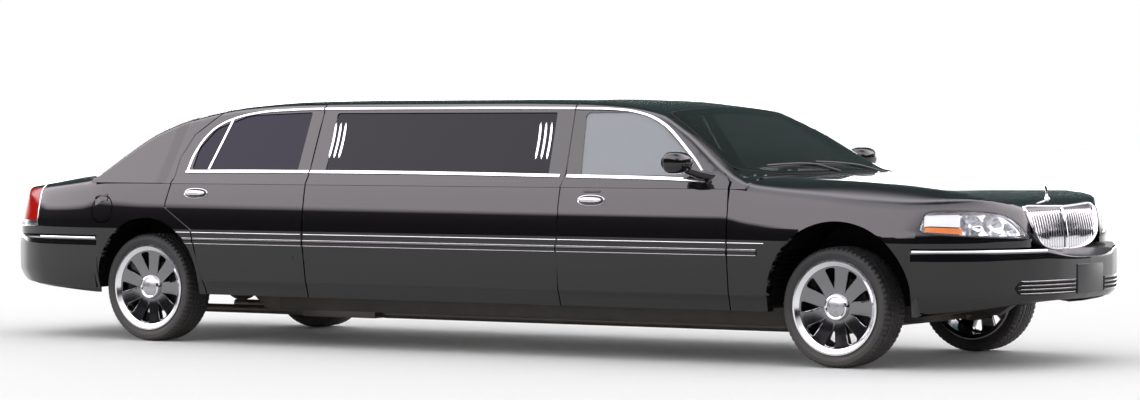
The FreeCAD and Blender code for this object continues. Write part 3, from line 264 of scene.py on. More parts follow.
class Form:
    """Smooth target surface: nearest spot and its smooth normal."""

    def __init__(self, sheets):
        spots, normals, faces, base = [], [], [], 0
        for rows in sheets:
            grid = np.asarray(rows)
            count, wide = grid.shape[:2]
            along, across = np.gradient(grid, axis=0), np.gradient(grid, axis=1)
            normal = np.cross(along, across)
            length = np.linalg.norm(normal, axis=2, keepdims=True)
            normal /= np.maximum(length, 1e-12)
            for sign in (1, -1):
                flip = np.array([1, sign, 1])
                spots.append((grid * flip).reshape(-1, 3))
                normals.append((normal * flip).reshape(-1, 3))
                i, j = np.meshgrid(np.arange(count - 1), np.arange(wide - 1), indexing="ij")
                a = (i * wide + j).ravel() + base
                faces.append(np.stack((a, a + 1, a + wide), 1))
                faces.append(np.stack((a + 1, a + wide + 1, a + wide), 1))
                base += count * wide
        self.spots, self.normals = np.concatenate(spots), np.concatenate(normals)
        self.faces = np.concatenate(faces)
        self.tree = BVHTree.FromPolygons(self.spots.tolist(), self.faces.tolist())

    def smooth_normal(self, index, place):
        a, b, c = self.faces[index]
        weights = []
        for one, two in ((b, c), (c, a), (a, b)):
            side = np.cross(self.spots[one] - place, self.spots[two] - place)
            weights.append(np.linalg.norm(side))
        total = sum(weights) or 1.0
        mixed = sum(w / total * self.normals[k] for w, k in zip(weights, (a, b, c)))
        return mixed / (np.linalg.norm(mixed) or 1.0)

    def nearest(self, place, reach):
        spot, _, index, gap = self.tree.find_nearest(Vector(place), reach)
        if spot is None:
            return None
        return np.array(spot), self.smooth_normal(index, np.array(spot)), gap

    def ray(self, origin, direction):
        """Spot that a ray meets, and the normal's direction that faces the ray."""
        spot, _, index, _ = self.tree.ray_cast(Vector(origin), Vector(direction))
        if spot is None:
            raise ValueError("no surface from %s along %s" % (origin, direction))
        normal = self.smooth_normal(index, np.array(spot))
        return np.array(spot), -normal if normal @ direction > 0 else normal

    def trace(self, origins, direction, lift=0.0):
        """Spots and normals that a row of parallel rays meets."""
        hits = [self.ray(origin, direction) for origin in origins]
        spots, normals = (np.array(part) for part in zip(*hits))
        return spots + lift * normals, normals

    def side(self, x, z, sign=-1):
        """Spot and outward normal on the car's side."""
        spot, normal = self.ray((x, -ASIDE, z), INWARD)
        flip = np.array([1, -sign, 1])
        return spot * flip, normal * flip

    def along_side(self, places, sign=-1):
        """Spots and outward normals at (x, z) places on the car's side."""
        hits = [self.side(x, z, sign) for x, z in places]
        return tuple(np.array(part) for part in zip(*hits))


BODY_ROWS = body_rows()
BODY = Form([BODY_ROWS])
CABIN = Form([greenhouse_rows()])
WHOLE = Form([BODY_ROWS, greenhouse_rows()])


# ------------------------------------------------------------------ mesh helpers
def pick_none():
    bpy.ops.object.select_all(action="DESELECT")


def activate(obj):
    pick_none()
    obj.select_set(True)
    bpy.context.view_layer.objects.active = obj


def edit(obj, *steps):
    """Run edit-mode operators on the whole of one object."""
    activate(obj)
    bpy.ops.object.mode_set(mode="EDIT")
    for operator, options in steps:
        bpy.ops.mesh.select_all(action="SELECT")
        operator(**options)
    bpy.ops.object.mode_set(mode="OBJECT")


def freeze(obj):
    """Leave the object at the origin, unturned, with its place in its mesh."""
    activate(obj)
    bpy.ops.object.transform_apply(location=True, rotation=True, scale=True)


def smooth(obj, angle=35):
    activate(obj)
    bpy.ops.object.shade_smooth_by_angle(angle=math.radians(angle))


def face_out(obj):
    edit(obj, (bpy.ops.mesh.normals_make_consistent, {"inside": False}))


def finish_piece(obj, name, body, material, angle=35, second=None):
    """Name a piece, give it its finishes, smooth it and let it ride on a body."""
    obj.name = obj.data.name = name
    marks = np.zeros(len(obj.data.polygons), int)
    if second:
        obj.data.polygons.foreach_get("material_index", marks)
    obj.data.materials.clear()
    obj.data.materials.append(MATERIALS[material])
    if second:
        obj.data.materials.append(MATERIALS[second])
    obj.data.polygons.foreach_set("material_index", marks)
    freeze(obj)
    smooth(obj, angle)
    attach(obj, body)
    return obj


def modify(obj, kind, **options):
    """Add a modifier and apply it at once."""
    activate(obj)
    modifier = obj.modifiers.new(kind.lower(), kind)
    for key, value in options.items():
        setattr(modifier, key, value)
    bpy.ops.object.modifier_apply(modifier=modifier.name)


def sheet(rows, around=False, along=False, capped=False, thick=0.0):
    """Grid laid on rows of points, joined up and closed where asked."""
    rows = np.asarray(rows, float)
    if around:
        rows = np.concatenate((rows, rows[:, :1]), axis=1)
    if along:
        rows = np.concatenate((rows, rows[:1]), axis=0)
    count, wide = rows.shape[:2]
    bpy.ops.mesh.primitive_grid_add(x_subdivisions=wide - 1, y_subdivisions=count - 1, size=1)
    obj = bpy.context.object
    if len(obj.data.vertices) != count * wide:
        raise ValueError("the grid has %d points, not %d" % (len(obj.data.vertices), count * wide))
    obj.data.vertices.foreach_set("co", rows.reshape(-1))
    obj.data.update()
    steps = [(bpy.ops.mesh.remove_doubles, {"threshold": 1e-6})]
    if capped:
        steps.append((bpy.ops.mesh.fill_holes, {"sides": 0}))
    edit(obj, *steps)
    if thick:
        modify(obj, "SOLIDIFY", thickness=abs(thick), offset=math.copysign(1, thick))
    if capped or (around and along) or thick:
        face_out(obj)
    return obj


def sweep(spots, normals, profile, ring=False):
    """Profile of (across, out) points carried along a path that lies on a surface."""
    spots, normals = np.asarray(spots, float), np.asarray(normals, float)
    if ring:
        along = np.roll(spots, -1, 0) - np.roll(spots, 1, 0)
    else:
        along = np.gradient(spots, axis=0)
    along /= np.linalg.norm(along, axis=1)[:, None]
    normals = normals - (normals * along).sum(1)[:, None] * along
    normals /= np.linalg.norm(normals, axis=1)[:, None]
    across = np.cross(normals, along)
    rows = [[spot + u * side + v * out for u, v in profile]
            for spot, side, out in zip(spots, across, normals)]
    return sheet(rows, around=True, along=ring, capped=not ring)


def join(pieces):
    pick_none()
    for piece in pieces:
        piece.select_set(True)
    bpy.context.view_layer.objects.active = pieces[0]
    bpy.ops.object.join()
    return bpy.context.object


def mirror_copy(obj):
    """Copy across the car's middle, with its own mesh and its faces outward."""
    activate(obj)
    bpy.ops.object.duplicate()
    twin = bpy.context.object
    twin.scale[1] = -1
    freeze(twin)
    if twin.data.polygons and volume(twin) < 0:
        edit(twin, (bpy.ops.mesh.flip_normals, {}))
    return twin


def both_sides(pieces):
    """Right-hand pieces joined with their mirror copies."""
    return join(pieces + [mirror_copy(piece) for piece in pieces])


def finish_pair(piece, name, body, material, angle=35):
    """Right-hand piece and its mirror copy, each finished on its own side's body."""
    pair = (piece, mirror_copy(piece))
    for obj, (word, _) in zip(pair, SIDES):
        finish_piece(obj, name + "-" + word, body + "_" + word, material, angle)
    return pair


def volume(obj):
    """Signed volume: negative where the faces point inwards."""
    mesh = obj.data
    mesh.calc_loop_triangles()
    spots = np.empty(len(mesh.vertices) * 3)
    mesh.vertices.foreach_get("co", spots)
    spots = spots.reshape(-1, 3)
    triangles = np.empty(len(mesh.loop_triangles) * 3, int)
    mesh.loop_triangles.foreach_get("vertices", triangles)
    a, b, c = (spots[triangles.reshape(-1, 3)[:, k]] for k in range(3))
    return float((a * np.cross(b, c)).sum() / 6)


def box_piece(low, high, bevel=0.0, segments=3):
    """Box between two corners with rounded edges."""
    low, high = np.asarray(low, float), np.asarray(high, float)
    pick_none()
    bpy.ops.mesh.primitive_cube_add(size=1, location=(low + high) / 2)
    obj = bpy.context.object
    obj.scale = high - low
    freeze(obj)
    if bevel:
        modify(obj, "BEVEL", width=bevel, segments=segments, limit_method="ANGLE")
    return obj


def node_copy(name):
    """Copy of a CAD node's mesh with its loose triangles merged."""
    source = NODES[name]
    mesh = source.data.copy()
    obj = bpy.data.objects.new(name + "_copy", mesh)
    bpy.context.scene.collection.objects.link(obj)
    edit(obj, (bpy.ops.mesh.remove_doubles, {"threshold": 2e-5}))
    return obj


# ------------------------------------------------------------------ panels on the smooth form
PANEL_REACH = 0.060         # panels lie at most this far from the form
PANEL_STEP = 0.042
FINE_STEP = 0.026           # for the panels with tight curves
LID_SINK = 0.009            # the boot lid's panel lies under its even skin
INNER_DEPTH = 0.055         # deeper faces of a panel have its inner finish
CREASE_HEIGHTS = (0.3785, 0.3845)
FLAT_WITHIN = 0.4           # degrees between faces that count as one flat face
LOOKS_OUT, LOOKS_IN = 0.55, -0.35       # a face's normal against the form's


def mesh_arrays(mesh):
    spots = np.empty(len(mesh.vertices) * 3)
    mesh.vertices.foreach_get("co", spots)
    centres = np.empty(len(mesh.polygons) * 3)
    mesh.polygons.foreach_get("center", centres)
    normals = np.empty(len(mesh.polygons) * 3)
    mesh.polygons.foreach_get("normal", normals)
    return spots.reshape(-1, 3), centres.reshape(-1, 3), normals.reshape(-1, 3)


def outward(normal, spot):
    """The normal's direction that looks away from the inside of the car."""
    inside = np.array([np.clip(spot[0], TAIL + 1.3, NOSE - 1.3), 0.0, 0.55])
    return normal if normal @ (spot - inside) > 0 else -normal


def outer_faces(mesh, form, reach):
    """Faces of a mesh that lie near the form and look the same way."""
    _, centres, normals = mesh_arrays(mesh)
    found = []
    for index, (centre, normal) in enumerate(zip(centres, normals)):
        hit = form.nearest(centre, reach)
        if hit is not None and float(outward(hit[1], hit[0]) @ normal) > LOOKS_OUT:
            found.append(index)
    return found


def divide(obj, low, high, step, flags):
    """Cut the flagged faces by even planes across the three directions."""
    cuts = [((0, 0, z), (0, 0, 1)) for z in CREASE_HEIGHTS if low[2] < z < high[2]]
    for axis in range(3):
        count = max(int((high[axis] - low[axis]) / step), 1)
        for value in np.linspace(low[axis], high[axis], count + 1)[1:-1]:
            place, normal = [0, 0, 0], [0, 0, 0]
            place[axis], normal[axis] = value, 1
            cuts.append((place, normal))
    mesh = obj.data
    layer = mesh.attributes.new("outer", "INT", "FACE")
    layer.data.foreach_set("value", flags)
    activate(obj)
    for place, normal in cuts:
        flags = np.empty(len(mesh.polygons), int)
        mesh.attributes["outer"].data.foreach_get("value", flags)
        mesh.polygons.foreach_set("select", flags.astype(bool))
        bpy.ops.object.mode_set(mode="EDIT")
        bpy.ops.mesh.bisect(plane_co=place, plane_no=normal)
        bpy.ops.object.mode_set(mode="OBJECT")


def mark_inner(obj, form):
    """Faces that look into the car take the second finish."""
    _, centres, normals = mesh_arrays(obj.data)
    marks = []
    for centre, normal in zip(centres, normals):
        hit = form.nearest(centre, INNER_DEPTH)
        marks.append(int(hit is None or float(outward(hit[1], hit[0]) @ normal) < LOOKS_IN))
    obj.data.polygons.foreach_set("material_index", marks)


def dress_panel(node, body, material, form=None, reach=PANEL_REACH, step=PANEL_STEP, lift=0.0,
                shaping=None, inner=None):
    """Panel that replaces a CAD node: divided, laid on the smooth form and smoothly shaded."""
    form = form or WHOLE
    obj = node_copy(node)
    low, high = (np.array(v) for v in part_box(node))
    edit(obj, (bpy.ops.mesh.dissolve_limited, {"angle_limit": math.radians(FLAT_WITHIN)}))
    outer = set(outer_faces(obj.data, form, reach))
    divide(obj, low, high, step, [int(i in outer) for i in range(len(obj.data.polygons))])
    mesh = obj.data
    outer = outer_faces(mesh, form, reach)
    spots, _, _ = mesh_arrays(mesh)
    hits = {}
    for index in outer:
        for corner in mesh.polygons[index].vertices:
            if corner not in hits:
                hits[corner] = form.nearest(spots[corner], reach * 1.4)
    for corner, hit in hits.items():
        if hit is not None:
            mesh.vertices[corner].co = hit[0] + lift * outward(hit[1], hit[0])
    if shaping:
        remap(obj, shaping)
    if inner:
        mark_inner(obj, form)
    finish_piece(obj, node.replace("_", "-") + "-finish", body, material, 30, inner)
    shade_from_form(obj, outer, hits)
    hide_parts(node)
    return obj


def shade_from_form(obj, outer, hits):
    """Faces on the form take its smooth normals; the others keep their own."""
    mesh = obj.data
    loops = np.empty(len(mesh.loops) * 3)
    mesh.corner_normals.foreach_get("vector", loops)
    loops = loops.reshape(-1, 3)
    for index in outer:
        polygon = mesh.polygons[index]
        for loop, corner in zip(polygon.loop_indices, polygon.vertices):
            if hits[corner] is not None:
                loops[loop] = outward(hits[corner][1], hits[corner][0])
    mesh.normals_split_custom_set(loops.tolist())


# ------------------------------------------------------------------ finishes
MATERIALS = {}


def node_group(name, inputs, outputs):
    """Shader node group with named sockets: (tree, entry node, exit node)."""
    tree = bpy.data.node_groups.new(name, "ShaderNodeTree")
    for label, kind, default in inputs:
        socket = tree.interface.new_socket(label, in_out="INPUT", socket_type="NodeSocket" + kind)
        socket.default_value = default
    for label, kind in outputs:
        tree.interface.new_socket(label, in_out="OUTPUT", socket_type="NodeSocket" + kind)
    return tree, tree.nodes.new("NodeGroupInput"), tree.nodes.new("NodeGroupOutput")


def add_node(tree, kind, inputs=(), **settings):
    """Shader node with its settings; an input takes a value, or a link from another's output."""
    made = tree.nodes.new("ShaderNode" + kind)
    for key, value in settings.items():
        setattr(made, key, value)
    for label, value in dict(inputs).items():
        if isinstance(value, bpy.types.NodeSocket):
            tree.links.new(value, made.inputs[label])
        else:
            made.inputs[label].default_value = value
    return made


def mottle_group():
    """Cloudy change of colour and roughness."""
    tree, entry, leave = node_group(
        "mottle",
        [("Color", "Color", (0.5, 0.5, 0.5, 1)), ("Depth", "Float", 0.2),
         ("Scale", "Float", 6.0), ("Roughness", "Float", 0.4), ("Spread", "Float", 0.1)],
        [("Color", "Color"), ("Roughness", "Float")])
    given, place = entry.outputs, add_node(tree, "TexCoord").outputs["Object"]
    cloud = add_node(tree, "TexNoise", {"Vector": place, "Scale": given["Scale"], "Detail": 5})
    centre = add_node(tree, "Math", {0: cloud.outputs[0], 1: 0.5}, operation="SUBTRACT")
    rough = add_node(tree, "Math", {0: centre.outputs[0], 1: given["Spread"],
                                    2: given["Roughness"]}, operation="MULTIPLY_ADD")
    bright = add_node(tree, "Math", {0: centre.outputs[0], 1: given["Depth"], 2: 1.0},
                      operation="MULTIPLY_ADD")
    tint = add_node(tree, "VectorMath", {0: given["Color"], "Scale": bright.outputs[0]},
                    operation="SCALE")
    tree.links.new(tint.outputs[0], leave.inputs["Color"])
    tree.links.new(rough.outputs[0], leave.inputs["Roughness"])


def grain_group():
    """Height of fine pebbled grain."""
    tree, entry, leave = node_group("pebble grain", [("Scale", "Float", 400.0)],
                                    [("Height", "Float")])
    at = {"Vector": add_node(tree, "TexCoord").outputs["Object"], "Scale": entry.outputs["Scale"]}
    cells, cloud = add_node(tree, "TexVoronoi", at), add_node(tree, "TexNoise", at)
    total = add_node(tree, "Math", {0: cloud.outputs[0], 1: 0.35, 2: cells.outputs["Distance"]},
                     operation="MULTIPLY_ADD")
    tree.links.new(total.outputs[0], leave.inputs["Height"])


def dust_group():
    """Road dust that thins out upwards."""
    tree, entry, leave = node_group(
        "road dust", [("Color", "Color", (0.1, 0.1, 0.1, 1)), ("Dust", "Color", (0.2, 0.17, 0.14, 1)),
                      ("Amount", "Float", 0.3), ("Top", "Float", 0.5)], [("Color", "Color")])
    given, place = entry.outputs, add_node(tree, "TexCoord").outputs["Object"]
    split = add_node(tree, "SeparateXYZ", {0: place})
    cloud = add_node(tree, "TexNoise", {"Vector": place, "Scale": 9, "Detail": 6})
    fade = add_node(tree, "MapRange", {"Value": split.outputs["Z"], "From Max": given["Top"],
                                       "To Min": 1, "To Max": 0})
    patches = add_node(tree, "Math", {0: fade.outputs[0], 1: cloud.outputs[0]},
                       operation="MULTIPLY")
    share = add_node(tree, "Math", {0: patches.outputs[0], 1: given["Amount"]},
                     operation="MULTIPLY")
    blend = add_node(tree, "Mix", {"Factor": share.outputs[0], "A": given["Color"],
                                   "B": given["Dust"]}, data_type="RGBA")
    tree.links.new(blend.outputs["Result"], leave.inputs["Color"])


def finish(name, color, rough, depth=0.2, scale=6.0, spread=0.08, grain=0.0, grain_scale=500.0,
           dust=0.0, dust_top=0.5, **sockets):
    """Material whose colour, roughness and relief come from the shared groups."""
    material = bpy.data.materials.new(name)
    material.use_nodes = True
    tree, groups = material.node_tree, bpy.data.node_groups
    shader = tree.nodes["Principled BSDF"]
    mottle = add_node(tree, "Group", {"Color": (*color, 1), "Depth": depth, "Scale": scale,
                                      "Roughness": rough, "Spread": spread},
                      node_tree=groups["mottle"])
    source = mottle.outputs["Color"]
    if dust:
        layer = add_node(tree, "Group", {"Amount": dust, "Top": dust_top, "Color": source},
                         node_tree=groups["road dust"])
        source = layer.outputs["Color"]
    tree.links.new(source, shader.inputs["Base Color"])
    tree.links.new(mottle.outputs["Roughness"], shader.inputs["Roughness"])
    if grain:
        pebble = add_node(tree, "Group", {"Scale": grain_scale}, node_tree=groups["pebble grain"])
        bump = add_node(tree, "Bump", {"Strength": grain, "Distance": 0.001,
                                       "Height": pebble.outputs["Height"]})
        tree.links.new(bump.outputs["Normal"], shader.inputs["Normal"])
    for label, value in sockets.items():
        shader.inputs[label.replace("_", " ")].default_value = value
    MATERIALS[name] = material
    return material


def make_finishes(look):
    """All materials of the car."""
    mottle_group()
    grain_group()
    dust_group()
    finish("gloss-paint", look.paint, 0.30, depth=0.25, scale=3.0, spread=0.05, IOR=1.5,
           Specular_IOR_Level=0.04, Coat_Weight=1.0, Coat_Roughness=0.015, Coat_IOR=1.5)
    # Black darker than any real plastic: painted shade in the intakes, behind the grille, inside the
    # wheel arches and under the hood; also the plain black of the screen gaskets.
    finish("black-and-painted-shade", (0.004, 0.004, 0.004), 0.7, depth=0.3, scale=20, spread=0.1,
           Specular_IOR_Level=0.15)
    finish("wheel-face", (0.20, 0.203, 0.212), 0.12, depth=0.10, scale=30, spread=0.08,
           Metallic=1.0, dust=0.10, dust_top=0.65)
    finish("chrome", (0.80, 0.80, 0.82), 0.07, depth=0.05, scale=14, spread=0.06, Metallic=1.0)
    finish("wheel-alloy", (0.80, 0.81, 0.83), 0.15, depth=0.10, scale=30, spread=0.12,
           Metallic=1.0, dust=0.10, dust_top=0.65)
    finish("satin-alloy", (0.42, 0.43, 0.45), 0.28, depth=0.15, scale=40, spread=0.1, Metallic=1.0)
    finish("lamp-white", (0.86, 0.87, 0.88), 0.35, depth=0.06, scale=30, spread=0.1)
    finish("tyre-rubber", (0.018, 0.018, 0.019), 0.62, depth=0.5, scale=18, spread=0.2,
           grain=0.25, grain_scale=700, dust=0.25, dust_top=0.55)
    finish("black-rubber", (0.016, 0.016, 0.017), 0.55, depth=0.4, scale=20, spread=0.15,
           grain=0.2, grain_scale=900)
    finish("satin-black", (0.020, 0.020, 0.022), 0.38, depth=0.3, scale=12, spread=0.15,
           grain=0.08, grain_scale=1200)
    finish("underbody-steel", (0.055, 0.053, 0.050), 0.55, depth=0.7, scale=7, spread=0.3,
           Metallic=0.4, grain=0.4, grain_scale=250, dust=0.5, dust_top=0.6)
    finish("cast-iron", (0.10, 0.085, 0.075), 0.65, depth=0.7, scale=12, spread=0.25,
           Metallic=0.6, grain=0.6, grain_scale=350, dust=0.5, dust_top=0.6)
    finish("exhaust-steel", (0.17, 0.155, 0.14), 0.48, depth=0.7, scale=9, spread=0.3,
           Metallic=0.9, dust=0.6, dust_top=0.5)
    finish("moulded-plastic", (0.045, 0.045, 0.050), 0.50, depth=0.3, scale=9, spread=0.12,
           grain=0.35, grain_scale=650)
    finish("headliner-cloth", (0.30, 0.29, 0.28), 0.9, depth=0.2, scale=16, spread=0.05,
           grain=0.5, grain_scale=900, Sheen_Weight=0.3)
    finish("cabin-carpet", (0.035, 0.035, 0.040), 0.95, depth=0.5, scale=30, spread=0.04,
           grain=1.0, grain_scale=600, Sheen_Weight=0.4)
    finish("black-leather", (0.030, 0.028, 0.028), 0.42, depth=0.45, scale=9, spread=0.2,
           grain=0.6, grain_scale=330, Sheen_Weight=0.1)
    finish("blank-plate", (0.022, 0.022, 0.024), 0.35, depth=0.2, scale=12, spread=0.1,
           grain=0.05, grain_scale=800)
    finish("reflector", (0.52, 0.53, 0.55), 0.12, depth=0.15, scale=40, spread=0.1, Metallic=1.0)
    wood()
    glass("clear-glass", (0.13, 0.145, 0.14), 0.90, 1.32)
    glass("cabin-glass", (0.42, 0.44, 0.48), 0.30, 1.25)
    glass("privacy-glass", (0.008, 0.007, 0.014), 0.05, 1.22)
    glass("rear-door-glass", (0.012, 0.010, 0.032), 0.05, 1.22)
    glass("clear-lens", (0.93, 0.95, 0.97), 0.97, 1.25)
    glass("amber-lens", (0.85, 0.20, 0.0), 0.05, 1.3)
    glass("red-lens", (0.60, 0.016, 0.010), 0.30, 1.4)


def glass(name, tint, through, bend):
    """See-through glass: a plain transmission weight, and a faint film of dust."""
    material = finish(name, tint, 0.03, depth=0.06, scale=5, spread=0.03, IOR=bend,
                      Transmission_Weight=through)
    material.use_backface_culling = False
    return material


WOOD_TONES = ((0.35, (0.030, 0.010, 0.005)), (0.7, (0.17, 0.07, 0.028)))


def wood():
    """Dark veneer with long figure under clear lacquer."""
    material = finish("dark-veneer", (0.10, 0.04, 0.018), 0.35, depth=0.4, scale=5, spread=0.1,
                      Coat_Weight=0.8, Coat_Roughness=0.08)
    tree = material.node_tree
    mottle = next(n for n in tree.nodes if n.type == "GROUP")
    place = add_node(tree, "TexCoord")
    stretch = add_node(tree, "Mapping", {"Vector": place.outputs["Object"], "Scale": (2, 22, 22)})
    figure = add_node(tree, "TexNoise", {"Vector": stretch.outputs["Vector"], "Scale": 2.5,
                                         "Detail": 8, "Distortion": 1.2})
    tone = add_node(tree, "ValToRGB", {"Fac": figure.outputs[0]})
    for element, (position, color) in zip(tone.color_ramp.elements, WOOD_TONES):
        element.position, element.color = position, (*color, 1)
    tree.links.new(tone.outputs["Color"], mottle.inputs["Color"])


def dress_node(name, material):
    """CAD node that keeps its shape and gets a finish."""
    for slot in NODES[name].material_slots:
        slot.link = "OBJECT"
        slot.material = MATERIALS[material]


# ------------------------------------------------------------------ camera, floor and light
CAMERA_PLACE = (12.376, -18.283, 1.414)
CAMERA_YAW, CAMERA_PITCH, CAMERA_ROLL = 0.5868, 0.0252, -0.0043
CAMERA_LENS = 117.37


def make_camera():
    data = bpy.data.cameras.new("camera")
    data.lens, data.sensor_width = CAMERA_LENS, 36
    data.clip_end = 200
    camera = bpy.data.objects.new("camera", data)
    bpy.context.scene.collection.objects.link(camera)
    yaw, pitch, roll = CAMERA_YAW, CAMERA_PITCH, CAMERA_ROLL
    ahead = Vector((-math.sin(yaw) * math.cos(pitch), math.cos(yaw) * math.cos(pitch),
                    -math.sin(pitch)))
    right = Vector((math.cos(yaw), math.sin(yaw), 0))
    up = right.cross(ahead)
    across = math.cos(roll) * right + math.sin(roll) * up
    above = -math.sin(roll) * right + math.cos(roll) * up
    turn = Matrix((across, above, -ahead)).transposed().to_4x4()
    camera.matrix_world = Matrix.Translation(CAMERA_PLACE) @ turn
    bpy.context.scene.camera = camera


def make_floor(look):
    pick_none()
    bpy.ops.mesh.primitive_circle_add(vertices=96, radius=look.floor_radius, fill_type="NGON",
                                      location=(0, 0, -0.0005))
    floor = bpy.context.object
    floor.name = floor.data.name = "floor"
    freeze(floor)
    finish("pale-floor", (0.88, 0.88, 0.88), 0.8, depth=0.01, scale=2, spread=0.05)
    floor.data.materials.append(MATERIALS["pale-floor"])


# What gloss mirrors, by height above the horizon: on the camera's side, and beyond the car.
NEAR_SKY = [(0.0, (0.002, 0.002, 0.003)), (0.215, (0.006, 0.006, 0.008)),
            (0.245, (1.0, 0.92, 0.97)), (0.60, (1.0, 0.93, 0.98)), (0.91, (0.66, 0.64, 0.69)),
            (1.0, (0.016, 0.026, 0.024))]
FAR_SKY = [(0.0, (0.9, 0.9, 0.9)), (0.150, (0.85, 0.85, 0.85)), (0.175, (0.013, 0.021, 0.020)),
           (1.0, (0.012, 0.019, 0.018))]
FAR_SIDE = (-0.554, 0.832, 0.0)
FAR_EDGE = (0.45, 0.75)         # towards the far side the bands change over between these
DIM_EDGE, DIM_SHARE = (-0.95, -0.70), 0.15      # and right behind the camera they are dimmer


def sky_change(tree, facing, edge, levels):
    """Soft change from one level to another between two directions."""
    return add_node(tree, "MapRange", {"Value": facing, "From Min": edge[0], "From Max": edge[1],
                                       "To Min": levels[0], "To Max": levels[1]},
                    interpolation_type="SMOOTHSTEP").outputs[0]


def make_world(look):
    """White surroundings; bright bands and dark gaps for the gloss to mirror."""
    world = bpy.data.worlds.new("studio")
    bpy.context.scene.world = world
    world.use_nodes = True
    tree = world.node_tree
    tree.nodes.clear()
    place = add_node(tree, "TexCoord").outputs["Generated"]
    height = add_node(tree, "SeparateXYZ", {0: place}).outputs["Z"]
    facing = add_node(tree, "VectorMath", {0: place, 1: FAR_SIDE},
                      operation="DOT_PRODUCT").outputs["Value"]
    colors = []
    for stops in (NEAR_SKY, FAR_SKY):
        ramp = add_node(tree, "ValToRGB", {"Fac": height})
        for position, _ in stops[2:]:
            ramp.color_ramp.elements.new(position)
        for element, (position, color) in zip(ramp.color_ramp.elements, stops):
            element.position, element.color = position, (*color, 1)
        colors.append(ramp.outputs["Color"])
    bands = add_node(tree, "Mix", {"Factor": sky_change(tree, facing, FAR_EDGE, (0, 1)),
                                   "A": colors[0], "B": colors[1]}, data_type="RGBA")
    strength = sky_change(tree, facing, DIM_EDGE, (DIM_SHARE * look.sky_strength, look.sky_strength))
    plain = add_node(tree, "Background", {"Color": (1, 1, 1, 1), "Strength": 1.0})
    mirrored = add_node(tree, "Background", {"Color": bands.outputs["Result"],
                                             "Strength": strength})
    rays = add_node(tree, "LightPath")
    mix = add_node(tree, "MixShader", {"Fac": rays.outputs["Is Glossy Ray"],
                                       1: plain.outputs[0], 2: mirrored.outputs[0]})
    add_node(tree, "OutputWorld", {"Surface": mix.outputs[0]})
    world.cycles.sampling_method = "NONE"
    bpy.context.scene.view_settings.view_transform = "Standard"


# ------------------------------------------------------------------ painted panels and glass
def sided(name):
    return [(name + "_" + word, word, sign) for word, sign in SIDES]


def make_panels():
    """Painted panels, each on the body that carries it."""
    root = "car_body"
    # Faces inside the wings and quarters and under the hood take a black darker than real liners:
    # painted shade in the wheel arches and under the hood.
    for node, inner in (("front_fenders", "black-and-painted-shade"), ("quarter_panels", "black-and-painted-shade"),
                        ("extension_sides", "moulded-plastic"), ("roof_panel", "headliner-cloth")):
        dress_panel(node, root, "gloss-paint", inner=inner, step=FINE_STEP)
    dress_panel("hood", "hood_body", "gloss-paint", inner="black-and-painted-shade")
    dress_panel("trunk_lid", "trunk_body", "gloss-paint", inner="satin-black", step=FINE_STEP,
                lift=-LID_SINK)
    make_skins()
    dress_panel("fuel_door", "fuel_door_body", "gloss-paint", step=0.018)
    for end in ("front", "rear"):
        for node, word, _ in sided(end + "_door"):
            dress_panel(node, end + "_door_body_" + word, "gloss-paint", inner="moulded-plastic")


def make_glass():
    """Windscreen and rear window on the smooth form; side panes keep their shape."""
    make_screens()
    dress_node("extension_windows", "privacy-glass")
    for word, _ in SIDES:
        dress_node("front_door_glass_" + word, "cabin-glass")
        dress_node("rear_door_glass_" + word, "rear-door-glass")


# Plan corners of the screens, right half.
SCREENS = {
    "windscreen": [(FRONT - 0.505, 0.0), (FRONT - 0.560, 0.500), (FRONT - 0.685, 0.785),
                   (FRONT - 1.225, 0.585), (FRONT - 1.235, 0.0)],
    "rear-window": [(REAR - 0.385, 0.0), (REAR - 0.365, 0.400), (REAR - 0.320, 0.700),
                    (REAR + 0.150, 0.570), (REAR + 0.160, 0.0)]}
SCREEN_FOOT, SCREEN_ROUND = 1.038, 0.09
PANE_THICK, PANE_LIFT = 0.004, 0.0008
SKIN_THICK, SKIN_LIFT = 0.004, 0.0010
PILLAR_SINK = 0.006         # the pillar skin's front edge dives under the panel


def screen_line(corners):
    """Outline of a screen on the cabin form, its corners rounded, kept above its foot."""
    loop = [(x, -y) for x, y in corners] + [(x, y) for x, y in corners[::-1][1:-1]]
    points = []
    for index, corner in enumerate(loop):
        for other in (loop[index - 1], loop[(index + 1) % len(loop)]):
            away = np.subtract(other, corner)
            points.append(np.array(corner) + away * min(SCREEN_ROUND / np.linalg.norm(away), 0.4))
        points.insert(-1, np.array(corner, float))
    middle = np.array([np.mean([corners[0][0], corners[-1][0]]), 0.0])
    spots = []
    for place in closed_line(points, count=240):
        for share in np.linspace(0, 0.6, 121):
            x, y = place + (middle - place) * share
            hit = CABIN.tree.ray_cast(Vector((x, y, ABOVE)), Vector(DOWN))
            if hit[0] is not None and hit[0].z >= SCREEN_FOOT:
                break
        spots.append(np.array(hit[0]))
    return eased(np.array(spots), 2)


# Cross-section of a screen's rubber edge, across it and outwards.
GASKET = [(-0.017, -0.008), (-0.017, 0.0010), (-0.013, 0.0024), (0.013, 0.0024),
          (0.017, 0.0010), (0.017, -0.008)]


